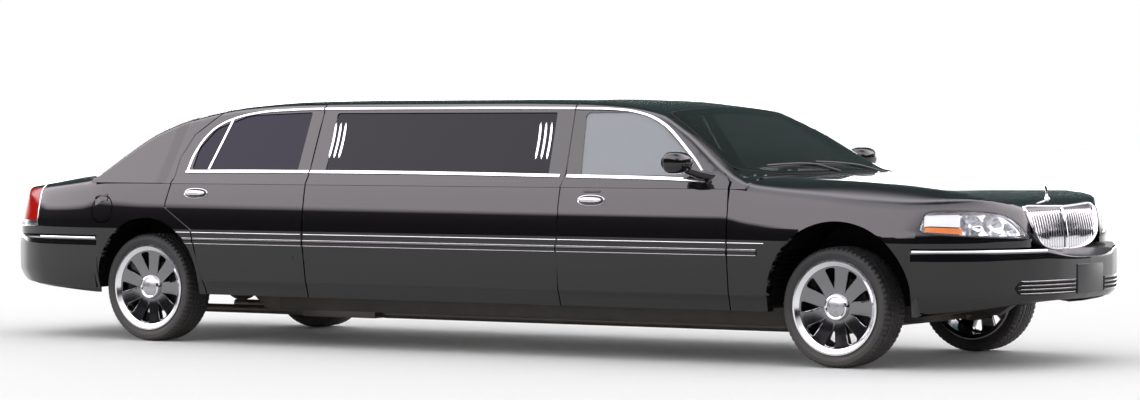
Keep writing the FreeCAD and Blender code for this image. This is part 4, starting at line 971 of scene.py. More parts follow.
def make_screens():
    """Windscreen and rear window on the smooth form, each with its black rubber edge."""
    for name, tint in (("windscreen", "clear-glass"), ("rear-window", "privacy-glass")):
        line = screen_line(SCREENS[name])
        middle = np.array([(line[:, 0].min() + line[:, 0].max()) / 2, 0.0])
        rows = []
        for share in np.linspace(1, 0, 22):
            places = [(*(middle + (place[:2] - middle) * share), ABOVE) for place in line]
            rows.append(CABIN.trace(places, DOWN, PANE_LIFT)[0])
        pane = finish_piece(sheet(rows, around=True, thick=-PANE_THICK), name + "-pane",
                            "car_body", tint, 60)
        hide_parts(name.replace("-", "_"))
        hits = [CABIN.nearest(place, 0.1) for place in line]
        normals = eased(np.array([outward(normal, spot) for spot, normal, _ in hits]), 6)
        gasket = sweep([spot for spot, _, _ in hits], normals, GASKET, ring=True)
        finish_piece(gasket, name + "-gasket", "car_body", "black-and-painted-shade", 40)


LIP_TOP, LIP_LEAN = 0.985, 0.7      # the lid's tail ends at this height, or where it lies over
DECK_HALF, DECK_LONG = 0.700, 0.048
PILLAR_ENDS = (REAR - 0.41, REAR + 0.19)
PILLAR_EDGE = ((REAR - 0.320, REAR + 0.150), (0.70, 0.57))      # beside the rear window


def lid_row(y, low, high):
    """Section of the boot lid's skin, from its foot over the lip and forward."""
    line = []
    for z in np.linspace(low[2] + 0.004, LIP_TOP, 120):
        if BODY.tree.ray_cast(Vector((-AHEAD, y, z)), Vector(FORWARD))[0] is None:
            break
        spot, normal = BODY.ray((-AHEAD, y, z), FORWARD)
        normal = outward(normal, spot)
        if normal[2] > LIP_LEAN:
            break
        line.append(spot + SKIN_LIFT * normal)
    for x in np.linspace(line[-1][0] + 0.004, high[0] - 0.001, 50):
        spot, normal = BODY.ray((x, y, ABOVE), DOWN)
        line.append(spot + SKIN_LIFT * outward(normal, spot))
    return respaced(line, 80)


def pillar_skin_row(x):
    """Section of the rear pillar, from its foot up to the rear window's edge."""
    table = np.asarray(GREENHOUSE)
    row = pillar_row(x, *(float(steady(table[:, 0], table[:, k], x)) for k in (1, 2)))
    row[:, 1] += PILLAR_SINK * max((x - REAR - 0.10) / 0.09, 0)
    inner = np.interp(x, *PILLAR_EDGE) + 0.006
    return respaced(row, 40, np.interp(-inner, row[:, 1], run_along(row)))


def make_skins():
    """Even skins over the boot lid, the deck ahead of it and the rear pillars."""
    low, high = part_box("trunk_lid")
    lid = sheet([lid_row(y, low, high) for y in np.linspace(low[1] + 0.001, high[1] - 0.001, 90)],
                thick=-SKIN_THICK)
    finish_piece(lid, "boot-lid-skin", "trunk_body", "gloss-paint", 60)
    start = high[0] + 0.004
    deck = sheet([[WHOLE.ray((x, y, ABOVE), DOWN)[0] + (0, 0, 0.0006)
                   for y in np.linspace(-DECK_HALF, DECK_HALF, 60)]
                  for x in np.linspace(start, start + DECK_LONG, 10)], thick=-SKIN_THICK)
    finish_piece(deck, "deck-strip", "car_body", "gloss-paint", 50)
    pillar = sheet([pillar_skin_row(x) for x in np.linspace(*PILLAR_ENDS, 60)],
                   thick=-SKIN_THICK)
    finish_piece(both_sides([pillar]), "rear-pillar-skin", "car_body", "gloss-paint", 60)


# ------------------------------------------------------------------ bumpers
FRONT_PLAN = [(3.599, 0.0), (3.594, 0.150), (3.580, 0.300), (3.552, 0.410), (3.520, 0.500),
              (3.464, 0.600), (3.380, 0.720), (3.220, 0.850), (3.074, 0.925), (3.005, 0.948)]
REAR_PLAN = [(-3.599, 0.0), (-3.589, 0.250), (-3.560, 0.500), (-3.475, 0.700), (-3.370, 0.800),
             (-3.250, 0.880), (-3.100, 0.930), (-2.849, 0.960), (-2.611, 0.975)]
BUMPER_TOP = {"front": 0.652, "rear": 0.640}
# Height and inset of a bumper's face; doubled points keep a sharp crease.
BUMPER_FACE = [(1.00, 0.030), (0.985, 0.010), (0.955, 0.002), (0.75, 0.0), (0.40, 0.001),
               (0.300, 0.004), (0.300, 0.004), (0.285, 0.011), (0.285, 0.011), (0.12, 0.026),
               (-0.05, 0.048), (-0.10, 0.060)]


def bumper_form(end):
    """Smooth face of a bumper, right half, from the middle of the car to the wheel arch."""
    top = BUMPER_TOP[end]
    spots, inward = rail(FRONT_PLAN if end == "front" else REAR_PLAN, 120)
    inward[-1] = inward[-2]
    rows = []
    for spot, normal in zip(spots, inward):
        line = [(spot + normal * inset, SILL + (top - SILL) * share)
                for share, inset in BUMPER_FACE]
        rows.append(rounded([(p[0], -max(p[1], 0), z) for p, z in reversed(line)]))
    return Form([rows])


FRONT_FORM, REAR_FORM = bumper_form("front"), bumper_form("rear")
BOWL_HALF, BOWL_DROP = 0.40, 0.055      # dip of the front bumper's edge under the grille
CHIN_RISE, TAIL_RISE = 0.075, 0.055     # rise of the bumpers' feet towards nose and tail
CHIN_TOP = 0.39                         # below which they rise


def shape_front_bumper(spots):
    """Dip the upper edge under the grille and lift the foot towards the nose."""
    x, y, z = spots.T
    near = np.clip((x - 3.25) / 0.15, 0, 1)
    bowl = np.clip(1 - (np.abs(y) / BOWL_HALF) ** 2.6, 0, 1) * near
    upper = np.clip((z - 0.575) / 0.077, 0, 1)
    z = z - BOWL_DROP * bowl * upper
    ahead = np.clip((x - 3.05) / 0.45, 0, 1)
    lower = np.clip((CHIN_TOP - z) / 0.10, 0, 1)
    z = z + CHIN_RISE * ahead ** 1.2 * lower
    return np.stack((x, y, z), 1)


def shape_rear_bumper(spots):
    """Lift the foot towards the tail."""
    x, y, z = spots.T
    behind = np.clip((-2.65 - x) / 0.8, 0, 1)
    lower = np.clip((CHIN_TOP - z) / 0.10, 0, 1)
    return np.stack((x, y, z + TAIL_RISE * behind ** 1.2 * lower), 1)


INTAKE_SPAN, INTAKE_HEIGHTS, INTAKE_ROUND = (0.175, 0.615), (0.402, 0.474), 0.045
SLAT_HEIGHTS = (0.406, 0.428, 0.449, 0.471)
PLATE_FACE, PLATE_THICK, PLATE_WIDE, PLATE_TALL = 3.5995, 0.010, 0.310, 0.160
# Bright strips on the bumpers' corners: form, first and last place along the car, height.
STRIPS = ((FRONT_FORM, 3.012, 3.545, 0.6365), (REAR_FORM, -3.104, -2.622, 0.6235))


def remap(obj, shaping):
    spots, _, _ = mesh_arrays(obj.data)
    obj.data.vertices.foreach_set("co", shaping(spots).reshape(-1))
    obj.data.update()


def face_path(ys, z):
    """Spots and normals across the front bumper's face at one height."""
    return FRONT_FORM.trace([(AHEAD, y, z) for y in ys], BACKWARD)


def intake_shade_plate(sign):
    """Thin closed plate on the front bumper's face, with its outer end rounded off: a dark sheet of
    painted shade that stands in for the intake's depth.
    """
    inner, outer = sign * INTAKE_SPAN[0], sign * INTAKE_SPAN[1]
    middle, half = sum(INTAKE_HEIGHTS) / 2, (INTAKE_HEIGHTS[1] - INTAKE_HEIGHTS[0]) / 2
    rows = []
    for y in np.linspace(inner, outer, 24):
        left = min(abs(outer - y) / INTAKE_ROUND, 1)
        share = math.sqrt(max(1 - (1 - left) ** 2, 0.0)) * 0.98 + 0.02
        places = [(AHEAD, y, z) for z in middle + np.linspace(-half, half, 6) * share]
        rows.append(FRONT_FORM.trace(places, BACKWARD, 0.0015)[0])
    return sheet(rows, thick=0.002)


def make_bumpers():
    """Bumper covers, intakes with slats, blank plates and bright strips."""
    for end, form, shaping in (("front", FRONT_FORM, shape_front_bumper),
                               ("rear", REAR_FORM, shape_rear_bumper)):
        dress_panel(end + "_bumper", "car_body", "gloss-paint", form=form, reach=0.05,
                    step=0.030, shaping=shaping, inner="satin-black")
    make_intakes()
    for end, aim, z in (("front", 1, 0.475), ("rear", -1, 0.500)):
        xs = sorted((aim * PLATE_FACE, aim * (PLATE_FACE - PLATE_THICK)))
        plate = box_piece((xs[0], -PLATE_WIDE / 2, z - PLATE_TALL / 2),
                          (xs[1], PLATE_WIDE / 2, z + PLATE_TALL / 2), 0.003)
        finish_piece(plate, end + "-plate", "car_body", "blank-plate")
    make_bumper_strips()


def make_intakes():
    """Dark sheets of painted shade standing in for openings either side of the front plate, with
    bright-edged slats.
    """
    shade_plates, slats, edges = [], [], []
    for _, sign in SIDES:
        shade_plates.append(intake_shade_plate(sign))
        for z in SLAT_HEIGHTS:
            outer = 0.600 if 0.41 < z < 0.46 else 0.575
            spots, normals = face_path(np.linspace(sign * INTAKE_SPAN[0], sign * outer, 24), z)
            slats.append(sweep(spots, normals, rounded_bar(0.0045, 0.007)))
            spots, normals = face_path(np.linspace(sign * 0.178, sign * 0.585, 24), z + 0.0055)
            edges.append(sweep(spots + normals * 0.005, normals, rounded_bar(0.0011, 0.0025)))
    # The intake plates are painted shade; the slats and their edges are trim.
    for name, pieces, material in (("intake-painted-shade", shade_plates, "black-and-painted-shade"),
                                   ("intake-slats", slats, "gloss-paint"),
                                   ("intake-edges", edges, "chrome")):
        finish_piece(join(pieces), name, "car_body", material)


def rounded_bar(half, rise, sink=0.003):
    """Cross-section of a trim strip: (across, out) points with rounded shoulders."""
    return [(-half, -sink), (-half, rise * 0.45), (-half * 0.7, rise * 0.85), (-half * 0.25, rise),
            (half * 0.25, rise), (half * 0.7, rise * 0.85), (half, rise * 0.45), (half, -sink)]


def make_bumper_strips():
    """Bright strips along the upper edge of both bumpers' corners."""
    strips = []
    for form, x0, x1, z in STRIPS:
        spots, normals = form.trace([(x, -ASIDE, z) for x in np.linspace(x0, x1, 40)], INWARD)
        strips.append(sweep(spots, normals, rounded_bar(0.0065, 0.005)))
    finish_piece(both_sides(strips), "bumper-strips", "car_body", "chrome")


# ------------------------------------------------------------------ bright trim on the sides
WINDOW_FOOT = 0.98
TRIM_STEP = 0.012


class Owners:
    """Which panel the side of the car belongs to at a point."""

    def __init__(self, sign, nodes):
        self.sign, self.trees = sign, {}
        for node, body in nodes:
            mesh = NODES[node].data
            spots, _, _ = mesh_arrays(mesh)
            faces = [tuple(polygon.vertices) for polygon in mesh.polygons]
            self.trees[node] = (BVHTree.FromPolygons(spots.tolist(), faces), body)

    def find(self, x, z):
        best, found = 10.0, None
        for node, (tree, body) in self.trees.items():
            spot, _, _, distance = tree.ray_cast(Vector((x, self.sign * ASIDE, z)),
                                                 Vector((0, -self.sign, 0)))
            if spot is not None and distance < best:
                best, found = distance, (node, body)
        return found if best < (0.60 if z < WINDOW_FOOT else 0.95) else None


def side_owners(word, sign):
    return Owners(sign, [
        ("front_fenders", "car_body"), ("extension_sides", "car_body"),
        ("quarter_panels", "car_body"), ("roof_panel", "car_body"),
        ("front_door_" + word, "front_door_body_" + word),
        ("rear_door_" + word, "rear_door_body_" + word),
        ("front_door_glass_" + word, "front_door_body_" + word),
        ("rear_door_glass_" + word, "rear_door_body_" + word),
        ("extension_windows", "car_body")])


def resample(points, step):
    """Points spread evenly along a smooth curve through the given points."""
    points = np.asarray(points, float)
    run = run_along(points)
    at = np.linspace(0, run[-1], max(int(run[-1] / step), 2))
    return np.stack([steady(run, points[:, k], at) for k in range(points.shape[1])], 1)


def trim_runs(path, owners, sign):
    """Parts of a side path, each on one body: (body, spots, normals)."""
    runs, current = [], None
    for x, z in resample(path, TRIM_STEP):
        owner = owners.find(x, z)
        body = owner[1] if owner else None
        if body is None:
            current = None
            continue
        family = body if "door" in body else owner[0]
        if current is None or current[0] != family:
            current = (family, body, [])
            runs.append(current)
        current[2].append((x, z))
    for _, body, points in runs:
        if len(points) >= 4:
            yield (body, *WHOLE.along_side(points, sign))


def lay_trim(name, path, profile, material):
    """One strip along both sides of the car, broken where the doors open."""
    pieces = {}
    for word, sign in SIDES:
        for body, spots, normals in trim_runs(path, OWNERS[word], sign):
            pieces.setdefault(body, []).append(sweep(spots, normals, profile))
    for body, group in pieces.items():
        finish_piece(join(group), name + "-" + body.replace("_", "-"), body, material)


OWNERS = {}
MOULDING_ENDS, MOULDING_HEIGHT, MOULDING_LINES = (-2.175, 2.085), 0.6175, (0.6335, 0.6015)
BELT_PATH = [(-1.955, 1.030), (-1.40, 1.034), (-0.60, 1.034), (0.10, 1.030), (0.80, 1.022),
             (1.40, 1.014), (1.72, 1.004)]
RAIL_PATH = [(-1.947, 1.040), (-1.949, 1.099), (-1.936, 1.171), (-1.908, 1.235), (-1.860, 1.291),
             (-1.792, 1.330), (-1.644, 1.372), (-1.449, 1.394), (-1.099, 1.404), (0.0, 1.4055),
             (0.593, 1.403), (0.865, 1.400), (1.036, 1.392), (1.201, 1.363), (1.332, 1.312),
             (1.514, 1.191), (1.658, 1.077), (1.720, 1.016)]


def make_trim():
    """Belt, window surrounds, side moulding with its bright lines, and the upright bars."""
    for word, sign in SIDES:
        OWNERS[word] = side_owners(word, sign)
    lay_trim("belt", BELT_PATH, rounded_bar(0.0115, 0.006), "chrome")
    lay_trim("window-surround", RAIL_PATH, rounded_bar(0.0085, 0.006), "chrome")
    lay_trim("side-moulding", [(x, MOULDING_HEIGHT) for x in MOULDING_ENDS],
             rounded_bar(0.0155, 0.007), "gloss-paint")
    for z in MOULDING_LINES:
        lay_trim("moulding-line-%d" % round(z * 1000), [(x, z) for x in MOULDING_ENDS],
                 rounded_bar(0.0026, 0.0085), "chrome")
    # Thin bright line along the side at 0.668 m: a painted highlight where the body-side crease
    # catches the light.
    lay_trim("crease-highlight-line", [(-2.20, 0.668), (2.13, 0.668)], rounded_bar(0.0020, 0.0025), "chrome")
    lay_trim("quarter-glass-bar", [(-1.790, 1.045), (-1.772, 1.180), (-1.752, 1.338)],
             rounded_bar(0.0075, 0.005, 0.008), "chrome")
    make_upright_bars()


# Upright bars: places of the feet along the car, and how far their tops lean.
UPRIGHT_BARS = (((-0.921, -0.885, -0.849), -0.045), ((0.624, 0.586, 0.548), -0.052))
BAR_FOOT, BAR_TALL = 1.118, 0.207


def make_upright_bars():
    """Three slim upright bars at each end of the long side windows."""
    pieces = []
    for feet, lean in UPRIGHT_BARS:
        for first in feet:
            for _, sign in SIDES:
                places = [(first + lean * share + 0.006 * math.sin(math.pi * share),
                           BAR_FOOT + BAR_TALL * share) for share in np.linspace(0, 1, 14)]
                spots, normals = WHOLE.along_side(places, sign)
                pieces.append(tapered(spots - normals * 0.004, normals, 0.008, 0.0085))
    finish_piece(join(pieces), "upright-bars", "car_body", "chrome", 60)


def tapered(spots, normals, half, rise):
    """Bar whose ends run out to a rounded point."""
    along = np.gradient(spots, axis=0)
    along /= np.linalg.norm(along, axis=1)[:, None]
    across = np.cross(normals, along)
    shares = np.linspace(-1, 1, len(spots))
    rows = []
    for spot, side, out, share in zip(spots, across, normals, shares):
        size = math.sqrt(max(1 - share ** 8, 0.02))
        rows.append([spot + side * half * size * math.cos(a) + out * rise * size * math.sin(a)
                     for a in turns(14)])
    return sheet(rows, around=True, capped=True)


# ------------------------------------------------------------------ wheels and tyres
RIM_PROFILE = [(0.092, 0.224), (0.099, 0.234), (0.1075, 0.248), (0.1065, 0.2585), (0.100, 0.2612),
               (0.088, 0.2560), (0.070, 0.2380), (-0.075, 0.2360), (-0.088, 0.2540),
               (-0.098, 0.2580), (-0.102, 0.2500), (-0.090, 0.2280), (0.060, 0.2240)]
FACE_PROFILE = [(0.050, 0.030), (0.050, 0.226), (0.090, 0.233), (0.089, 0.222), (0.086, 0.200),
                (0.079, 0.150), (0.0745, 0.110), (0.0735, 0.075), (0.0735, 0.030)]
POCKETS, RIM_EDGE = 9, 0.0056       # openings between the spokes, and their bright edge
CAP_RING = [(0.070, 0.052), (0.092, 0.054), (0.0955, 0.060), (0.093, 0.067), (0.082, 0.073),
            (0.070, 0.074)]
CAP_DOME = [(0.070, 0.0005), (0.098, 0.0005), (0.0972, 0.020), (0.0945, 0.038), (0.0895, 0.054),
            (0.070, 0.0545)]
BRAKE_DISC = [(-0.010, 0.060), (0.004, 0.060), (0.005, 0.090), (-0.002, 0.095), (-0.002, 0.149),
              (-0.026, 0.149), (-0.026, 0.095), (-0.012, 0.090)]
TYRE_PROFILE = [(0.094, 0.2560), (0.1000, 0.2650), (0.1045, 0.2700), (0.1050, 0.2730),
                (0.1085, 0.2760), (0.1120, 0.2860), (0.1125, 0.2920), (0.1120, 0.2980),
                (0.1100, 0.3050), (0.1105, 0.3070), (0.1070, 0.3110), (0.1045, 0.3150),
                (0.1000, 0.3190), (0.0940, 0.3222), (0.0870, 0.3242), (0.0640, 0.3256),
                (0.0635, 0.3190), (0.0560, 0.3190), (0.0555, 0.3260), (0.0290, 0.3265),
                (0.0285, 0.3190), (0.0205, 0.3190), (0.0200, 0.3265), (0.0035, 0.3265),
                (0.0030, 0.3200)]
TREAD_PITCHES, TREAD_TWIST, SHOULDER_CUT, RIB_CUT = 68, 0.012, 0.0062, 0.0040


def spun(profile):
    """Closed profile of (across, radius) points turned round the wheel's axis."""
    return sheet([[(r * math.cos(a), -u, r * math.sin(a)) for u, r in profile]
                  for a in turns(108)], around=True, along=True)


def make_rim():
    """Alloy wheel at the origin, facing right: name, piece and its finishes."""
    barrel, face = spun(RIM_PROFILE), spun(FACE_PROFILE)
    cutter = join([pocket_cutter(2 * math.pi * (k + 0.5) / POCKETS) for k in range(POCKETS)])
    modify(face, "BOOLEAN", operation="DIFFERENCE", object=cutter, solver="EXACT")
    bpy.data.objects.remove(cutter)
    for name in ("wheel-face", "wheel-alloy"):
        face.data.materials.append(MATERIALS[name])
    modify(face, "BEVEL", width=RIM_EDGE, segments=2, limit_method="ANGLE",
           angle_limit=math.radians(50), material=1)
    ring, dome, disc = (spun(profile) for profile in (CAP_RING, CAP_DOME, BRAKE_DISC))
    return [("wheel-barrel", barrel, "wheel-alloy", None),
            ("wheel-face", face, "wheel-face", "wheel-alloy"), ("cap-ring", ring, "chrome", None),
            ("cap-dome", dome, "satin-alloy", None), ("brake-disc", disc, "cast-iron", None)]


def pocket_cutter(angle):
    """Rounded triangular prism whose point faces the hub."""
    corners = [(0.100, 0.000), (0.150, 0.0155), (0.203, 0.0300), (0.2135, 0.0250), (0.2165, 0.000)]
    outline = corners + [(r, -w) for r, w in reversed(corners[1:-1])]
    rows = []
    for y in (-0.14, 0.0):
        row = []
        for r, w in outline:
            row.append((r * math.cos(angle) - w * math.sin(angle), y,
                        r * math.sin(angle) + w * math.cos(angle)))
        rows.append(row)
    return sheet(rows, around=True, capped=True)


def make_tyre():
    """Tyre at the origin, with grooves round the tread and blocks at its shoulders."""
    inner = [(-u, r) for u, r in reversed(TYRE_PROFILE)]
    profile = TYRE_PROFILE + inner + [(-0.086, 0.2600), (-0.100, 0.300), (-0.06, 0.312),
                                      (0.06, 0.312), (0.100, 0.300), (0.086, 0.2600)]
    count = TREAD_PITCHES * 4
    rows = []
    for k in range(count):
        angle = 2 * math.pi * k / count
        row = []
        for u, r in profile:
            shoulder = 0.060 < abs(u) < 0.1046 and r > 0.3140
            rib = 0.0195 < abs(u) < 0.056 and r > 0.325
            turn = angle + math.copysign(TREAD_TWIST, u) * (abs(u) < 0.06)
            if shoulder and k % 4 == 0:
                r -= SHOULDER_CUT
            elif rib and (k + 2 * (u > 0)) % 4 == 1:
                r -= RIB_CUT
            row.append((r * math.cos(turn), -u, r * math.sin(turn)))
        rows.append(row)
    return sheet(rows, around=True, along=True)


def place_copy(obj, spot, mirrored):
    """Copy with its own mesh, carried to its place, mirrored for the left side."""
    activate(obj)
    bpy.ops.object.duplicate()
    twin = bpy.context.object
    if mirrored:
        twin.scale[1] = -1
        freeze(twin)
        edit(twin, (bpy.ops.mesh.flip_normals, {}))
    twin.location = spot
    freeze(twin)
    return twin


def make_wheels():
    """Four alloy wheels with their tyres, centre caps and brake discs."""
    parts, tyre = make_rim(), make_tyre()
    for end in ("front", "rear"):
        for word, sign in SIDES:
            hub = JOINTS["%s_wheel_spin_%s" % (end, word)]["pos_m"]
            tag, body = "%s_%s" % (end, word), "%s_wheel_%s" % (end, word)
            low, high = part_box("tyre_" + tag)
            spot = (hub[0], (low[1] + high[1]) / 2, hub[2])
            for name, piece, material, second in parts:
                twin = place_copy(piece, spot, sign > 0)
                finish_piece(twin, "%s-%s-%s" % (name, end, word), body, material, 32, second)
                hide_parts("rim_" + tag)
            twin = place_copy(tyre, spot, sign > 0)
            finish_piece(twin, "tyre-%s-%s" % (end, word), body, "tyre-rubber", 30)
            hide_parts("tyre_" + tag)
    for piece in [part[1] for part in parts] + [tyre]:
        bpy.data.objects.remove(piece)


# ------------------------------------------------------------------ lamps
PLAN_SPOTS, PLAN_INWARD = rail(PLAN, 400)
PLAN_RUN = run_along(PLAN_SPOTS)


def plan_run(end, x=None, y=None):
    """Distance along the plan curve to a place on its front half (end 1) or rear half (-1)."""
    values, target = (PLAN_SPOTS[:, 0], x) if y is None else (PLAN_SPOTS[:, 1], y)
    gaps = np.where(PLAN_SPOTS[:, 0] * end > 0, np.abs(values - target), 9)
    return PLAN_RUN[int(np.argmin(gaps))]


def plan_place(run):
    """Place on the plan curve at a distance along it, and the inward direction there."""
    place = [float(np.interp(run, PLAN_RUN, PLAN_SPOTS[:, k])) for k in (0, 1)]
    return place, np.array([np.interp(run, PLAN_RUN, PLAN_INWARD[:, k]) for k in (0, 1)])


def wrapped(run, z, lift=0.0):
    """Spot and normal on the body, reached level and square to its plan curve."""
    (x, y), inward = plan_place(run)
    inward /= np.linalg.norm(inward)
    origin = np.array([x - 0.3 * inward[0], -(y - 0.3 * inward[1]), z])
    spot, normal = BODY.ray(origin, (inward[0], -inward[1], 0))
    return spot + lift * normal, normal


LAMP_ENDS = (plan_run(1, x=3.047), plan_run(1, y=0.452))
LAMP_TOP = ([0, 0.03, 0.09, 0.20, 0.45, 0.75, 0.90, 1.0],
            [0.768, 0.826, 0.848, 0.852, 0.848, 0.828, 0.775, 0.706])
LAMP_FOOT = ([0, 0.03, 0.10, 0.5, 1.0], [0.748, 0.736, 0.730, 0.713, 0.697])
LAMP_SILL, LAMP_BROW = 0.6835, 0.8455       # painted surround, below and above


def between(ends, share):
    return ends[0] + (ends[1] - ends[0]) * share


def lamp_limits(u):
    """Heights of the lamp's lower and upper edge."""
    return float(steady(*LAMP_FOOT, u)), float(steady(*LAMP_TOP, u))


def lamp_spot(u, v, lift):
    return wrapped(between(LAMP_ENDS, u), between(lamp_limits(u), v), lift)


def lamp_sheet(count, lift, thick, us=(0, 1), vs=(0, 1), relief=None):
    """Plate over a part of the lamp's outline; relief gives the depth at each place."""
    return sheet([[lamp_spot(u, v, lift - (relief(u, v) if relief else 0.0))[0]
                   for v in np.linspace(*vs, count[1])]
                  for u in np.linspace(*us, count[0])], thick=-thick)


BOWLS = ((0.435, 0.50, 0.098, 0.46), (0.640, 0.50, 0.098, 0.46), (0.820, 0.40, 0.070, 0.33))


def reflector_depth(u, v):
    """Deep fluted bowls towards the nose and a shallow stepped reflector at the corner."""
    edge = min(u, 1 - u) / 0.03 if min(u, 1 - u) < 0.03 else 1.0
    rim = min(v, 1 - v) / 0.08 if min(v, 1 - v) < 0.08 else 1.0
    fade = max(min(edge, rim), 0.0)
    depth = 0.016 + 0.004 * math.sin(v * 40) * (u < 0.33)
    for cu, cv, ru, rv in BOWLS:
        du, dv = (u - cu) / ru, (v - cv) / rv
        gap = du * du + dv * dv
        if gap < 1:
            flute = 0.0035 * math.cos(9 * math.atan2(dv, du)) * gap
            depth = 0.020 + 0.040 * (1 - gap) + flute
            if gap < 0.035:
                depth -= 0.022
    return depth * fade


def lamp_seal():
    """Dark rubber round the lamp's outline."""
    outline = [(u, 0) for u in np.linspace(0, 1, 70)] + [(1, 0.5)]
    outline += [(u, 1) for u in np.linspace(1, 0, 70)] + [(0, 0.5)]
    around = [lamp_spot(u, v, 0.002) for u, v in outline]
    return sweep([spot for spot, _ in around], [normal for _, normal in around],
                 rounded_bar(0.0042, 0.0045, 0.004), ring=True)


def lamp_surround(low=None, high=None):
    """Painted strip between the lamp's edge and the height that is given."""
    rows = []
    for u in np.linspace(-0.035, 1.045, 60):
        lamp_foot, lamp_top = lamp_limits(min(max(u, 0), 1))
        top = high or lamp_foot + 0.004
        foot = min(low or lamp_top - 0.004, top - 0.001)
        rows.append([wrapped(between(LAMP_ENDS, u), z, 0.0010)[0]
                     for z in np.linspace(foot, top, 8)])
    return sheet(rows, thick=-0.004)


def make_headlamps():
    """Clear lens over fluted reflectors, amber corner strip, dark seal and painted surround."""
    parts = [
        ("lamp-reflector", [lamp_sheet((150, 44), -0.001, 0.0015, relief=reflector_depth)],
         "reflector"),
        ("lamp-lens", [lamp_sheet((60, 20), 0.0045, 0.0028)], "clear-lens"),
        ("lamp-corner", [lamp_sheet((24, 10), -0.0055, 0.002, (0.035, 0.335), (0.36, 0.94))],
         "lamp-white"),
        ("lamp-amber", [lamp_sheet((24, 8), -0.001, 0.004, (0.040, 0.350), (0.07, 0.29))],
         "amber-lens"),
        ("lamp-seal", [lamp_seal()], "black-rubber"),
        ("lamp-surround", [lamp_surround(low=LAMP_SILL), lamp_surround(high=LAMP_BROW)],
         "gloss-paint")]
    for name, pieces, material in parts:
        obj = finish_piece(both_sides(pieces), name, "car_body", material, 40)
        if name == "lamp-reflector":
            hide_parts("headlamps")


TAIL_ENDS = (plan_run(-1, x=-3.136), plan_run(-1, y=0.692))
TAIL_FOOT, TAIL_SPLIT, TAIL_TOP = 0.688, 0.722, 0.944       # foot, lens above it, highest edge
TAIL_BROW = 0.954           # the painted shoulder starts here
TAIL_EDGE = -3.1325         # bright strip down the lamp's front edge


def tail_top(run):
    """Height of the lamp's upper edge, a little under the body's shoulder."""
    (x, y), inward = plan_place(run)
    edge = (x + SHOULDER_IN * inward[0], y + SHOULDER_IN * inward[1])
    return min(float(top_height(edge[0], abs(edge[1]))) - 0.006, TAIL_TOP)


def tail_sheet(limits, count, lift, thick):
    """Plate wrapped round the rear corner; limits gives its lowest and highest point."""
    rows = []
    for share in np.linspace(0, 1, 44):
        run = between(TAIL_ENDS, share)
        rows.append([wrapped(run, z, lift)[0] for z in np.linspace(*limits(run), count)])
    return sheet(rows, thick=-thick)


def make_tail_lamps():
    """Red lenses wrapped round the rear corners, with a bright edge and a clear foot."""
    for name, limits, count, lift, thick, material in (
            ("lens", lambda run: (TAIL_SPLIT, tail_top(run)), 22, 0.0015, 0.012, "red-lens"),
            ("foot", lambda run: (TAIL_FOOT, TAIL_SPLIT - 0.003), 22, 0.0015, 0.012,
             "clear-lens"),
            ("backing", lambda run: (TAIL_FOOT + 0.001, tail_top(run)), 14, -0.014, 0.003,
             "reflector"),
            ("brow", lambda run: (tail_top(run) - 0.001, TAIL_BROW), 10, 0.0006, 0.008,
             "gloss-paint")):
        obj = both_sides([tail_sheet(limits, count, lift, thick)])
        finish_piece(obj, "tail-lamp-" + name, "car_body", material, 40)
        if name == "lens":
            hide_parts("tail_lamps")
    path = BODY.along_side([(TAIL_EDGE, z) for z in np.linspace(0.690, 0.935, 24)])
    edge = sweep(*path, rounded_bar(0.0035, 0.004))
    finish_piece(both_sides([edge]), "tail-lamp-edges", "car_body", "chrome")


# ------------------------------------------------------------------ grille and ornament
GRILLE_LINE = [(0.0, 0.8575), (0.16, 0.8610), (0.30, 0.8655), (0.385, 0.8680), (0.414, 0.8560),
               (0.412, 0.8200), (0.392, 0.7550), (0.355, 0.7000), (0.295, 0.6600),
               (0.200, 0.6390), (0.100, 0.6320), (0.0, 0.6300)]
BAR_PITCH, BAR_HALF, DIVIDER_HALF = 0.0292, 0.0060, 0.0105


def nose_spot(y, z, lift=0.0):
    """Place on the body's nose, standing proud by the lift."""
    held = min(z, 0.842)
    spot, _ = BODY.ray((AHEAD, y, held), BACKWARD)
    lean = (z - held) * 0.9
    return np.array([spot[0] + lift - lean, y, z])


def grille_limits(y):
    """Lowest and highest point inside the grille's outline at a distance from the middle."""
    line = rounded(GRILLE_LINE)
    inside = [z for (y0, z0), (y1, z1) in zip(line, line[1:])
              for z in [z0 + (z1 - z0) * (abs(y) - y0) / (y1 - y0)]
              if min(y0, y1) <= abs(y) <= max(y0, y1)]
    return (min(inside), max(inside)) if inside else None


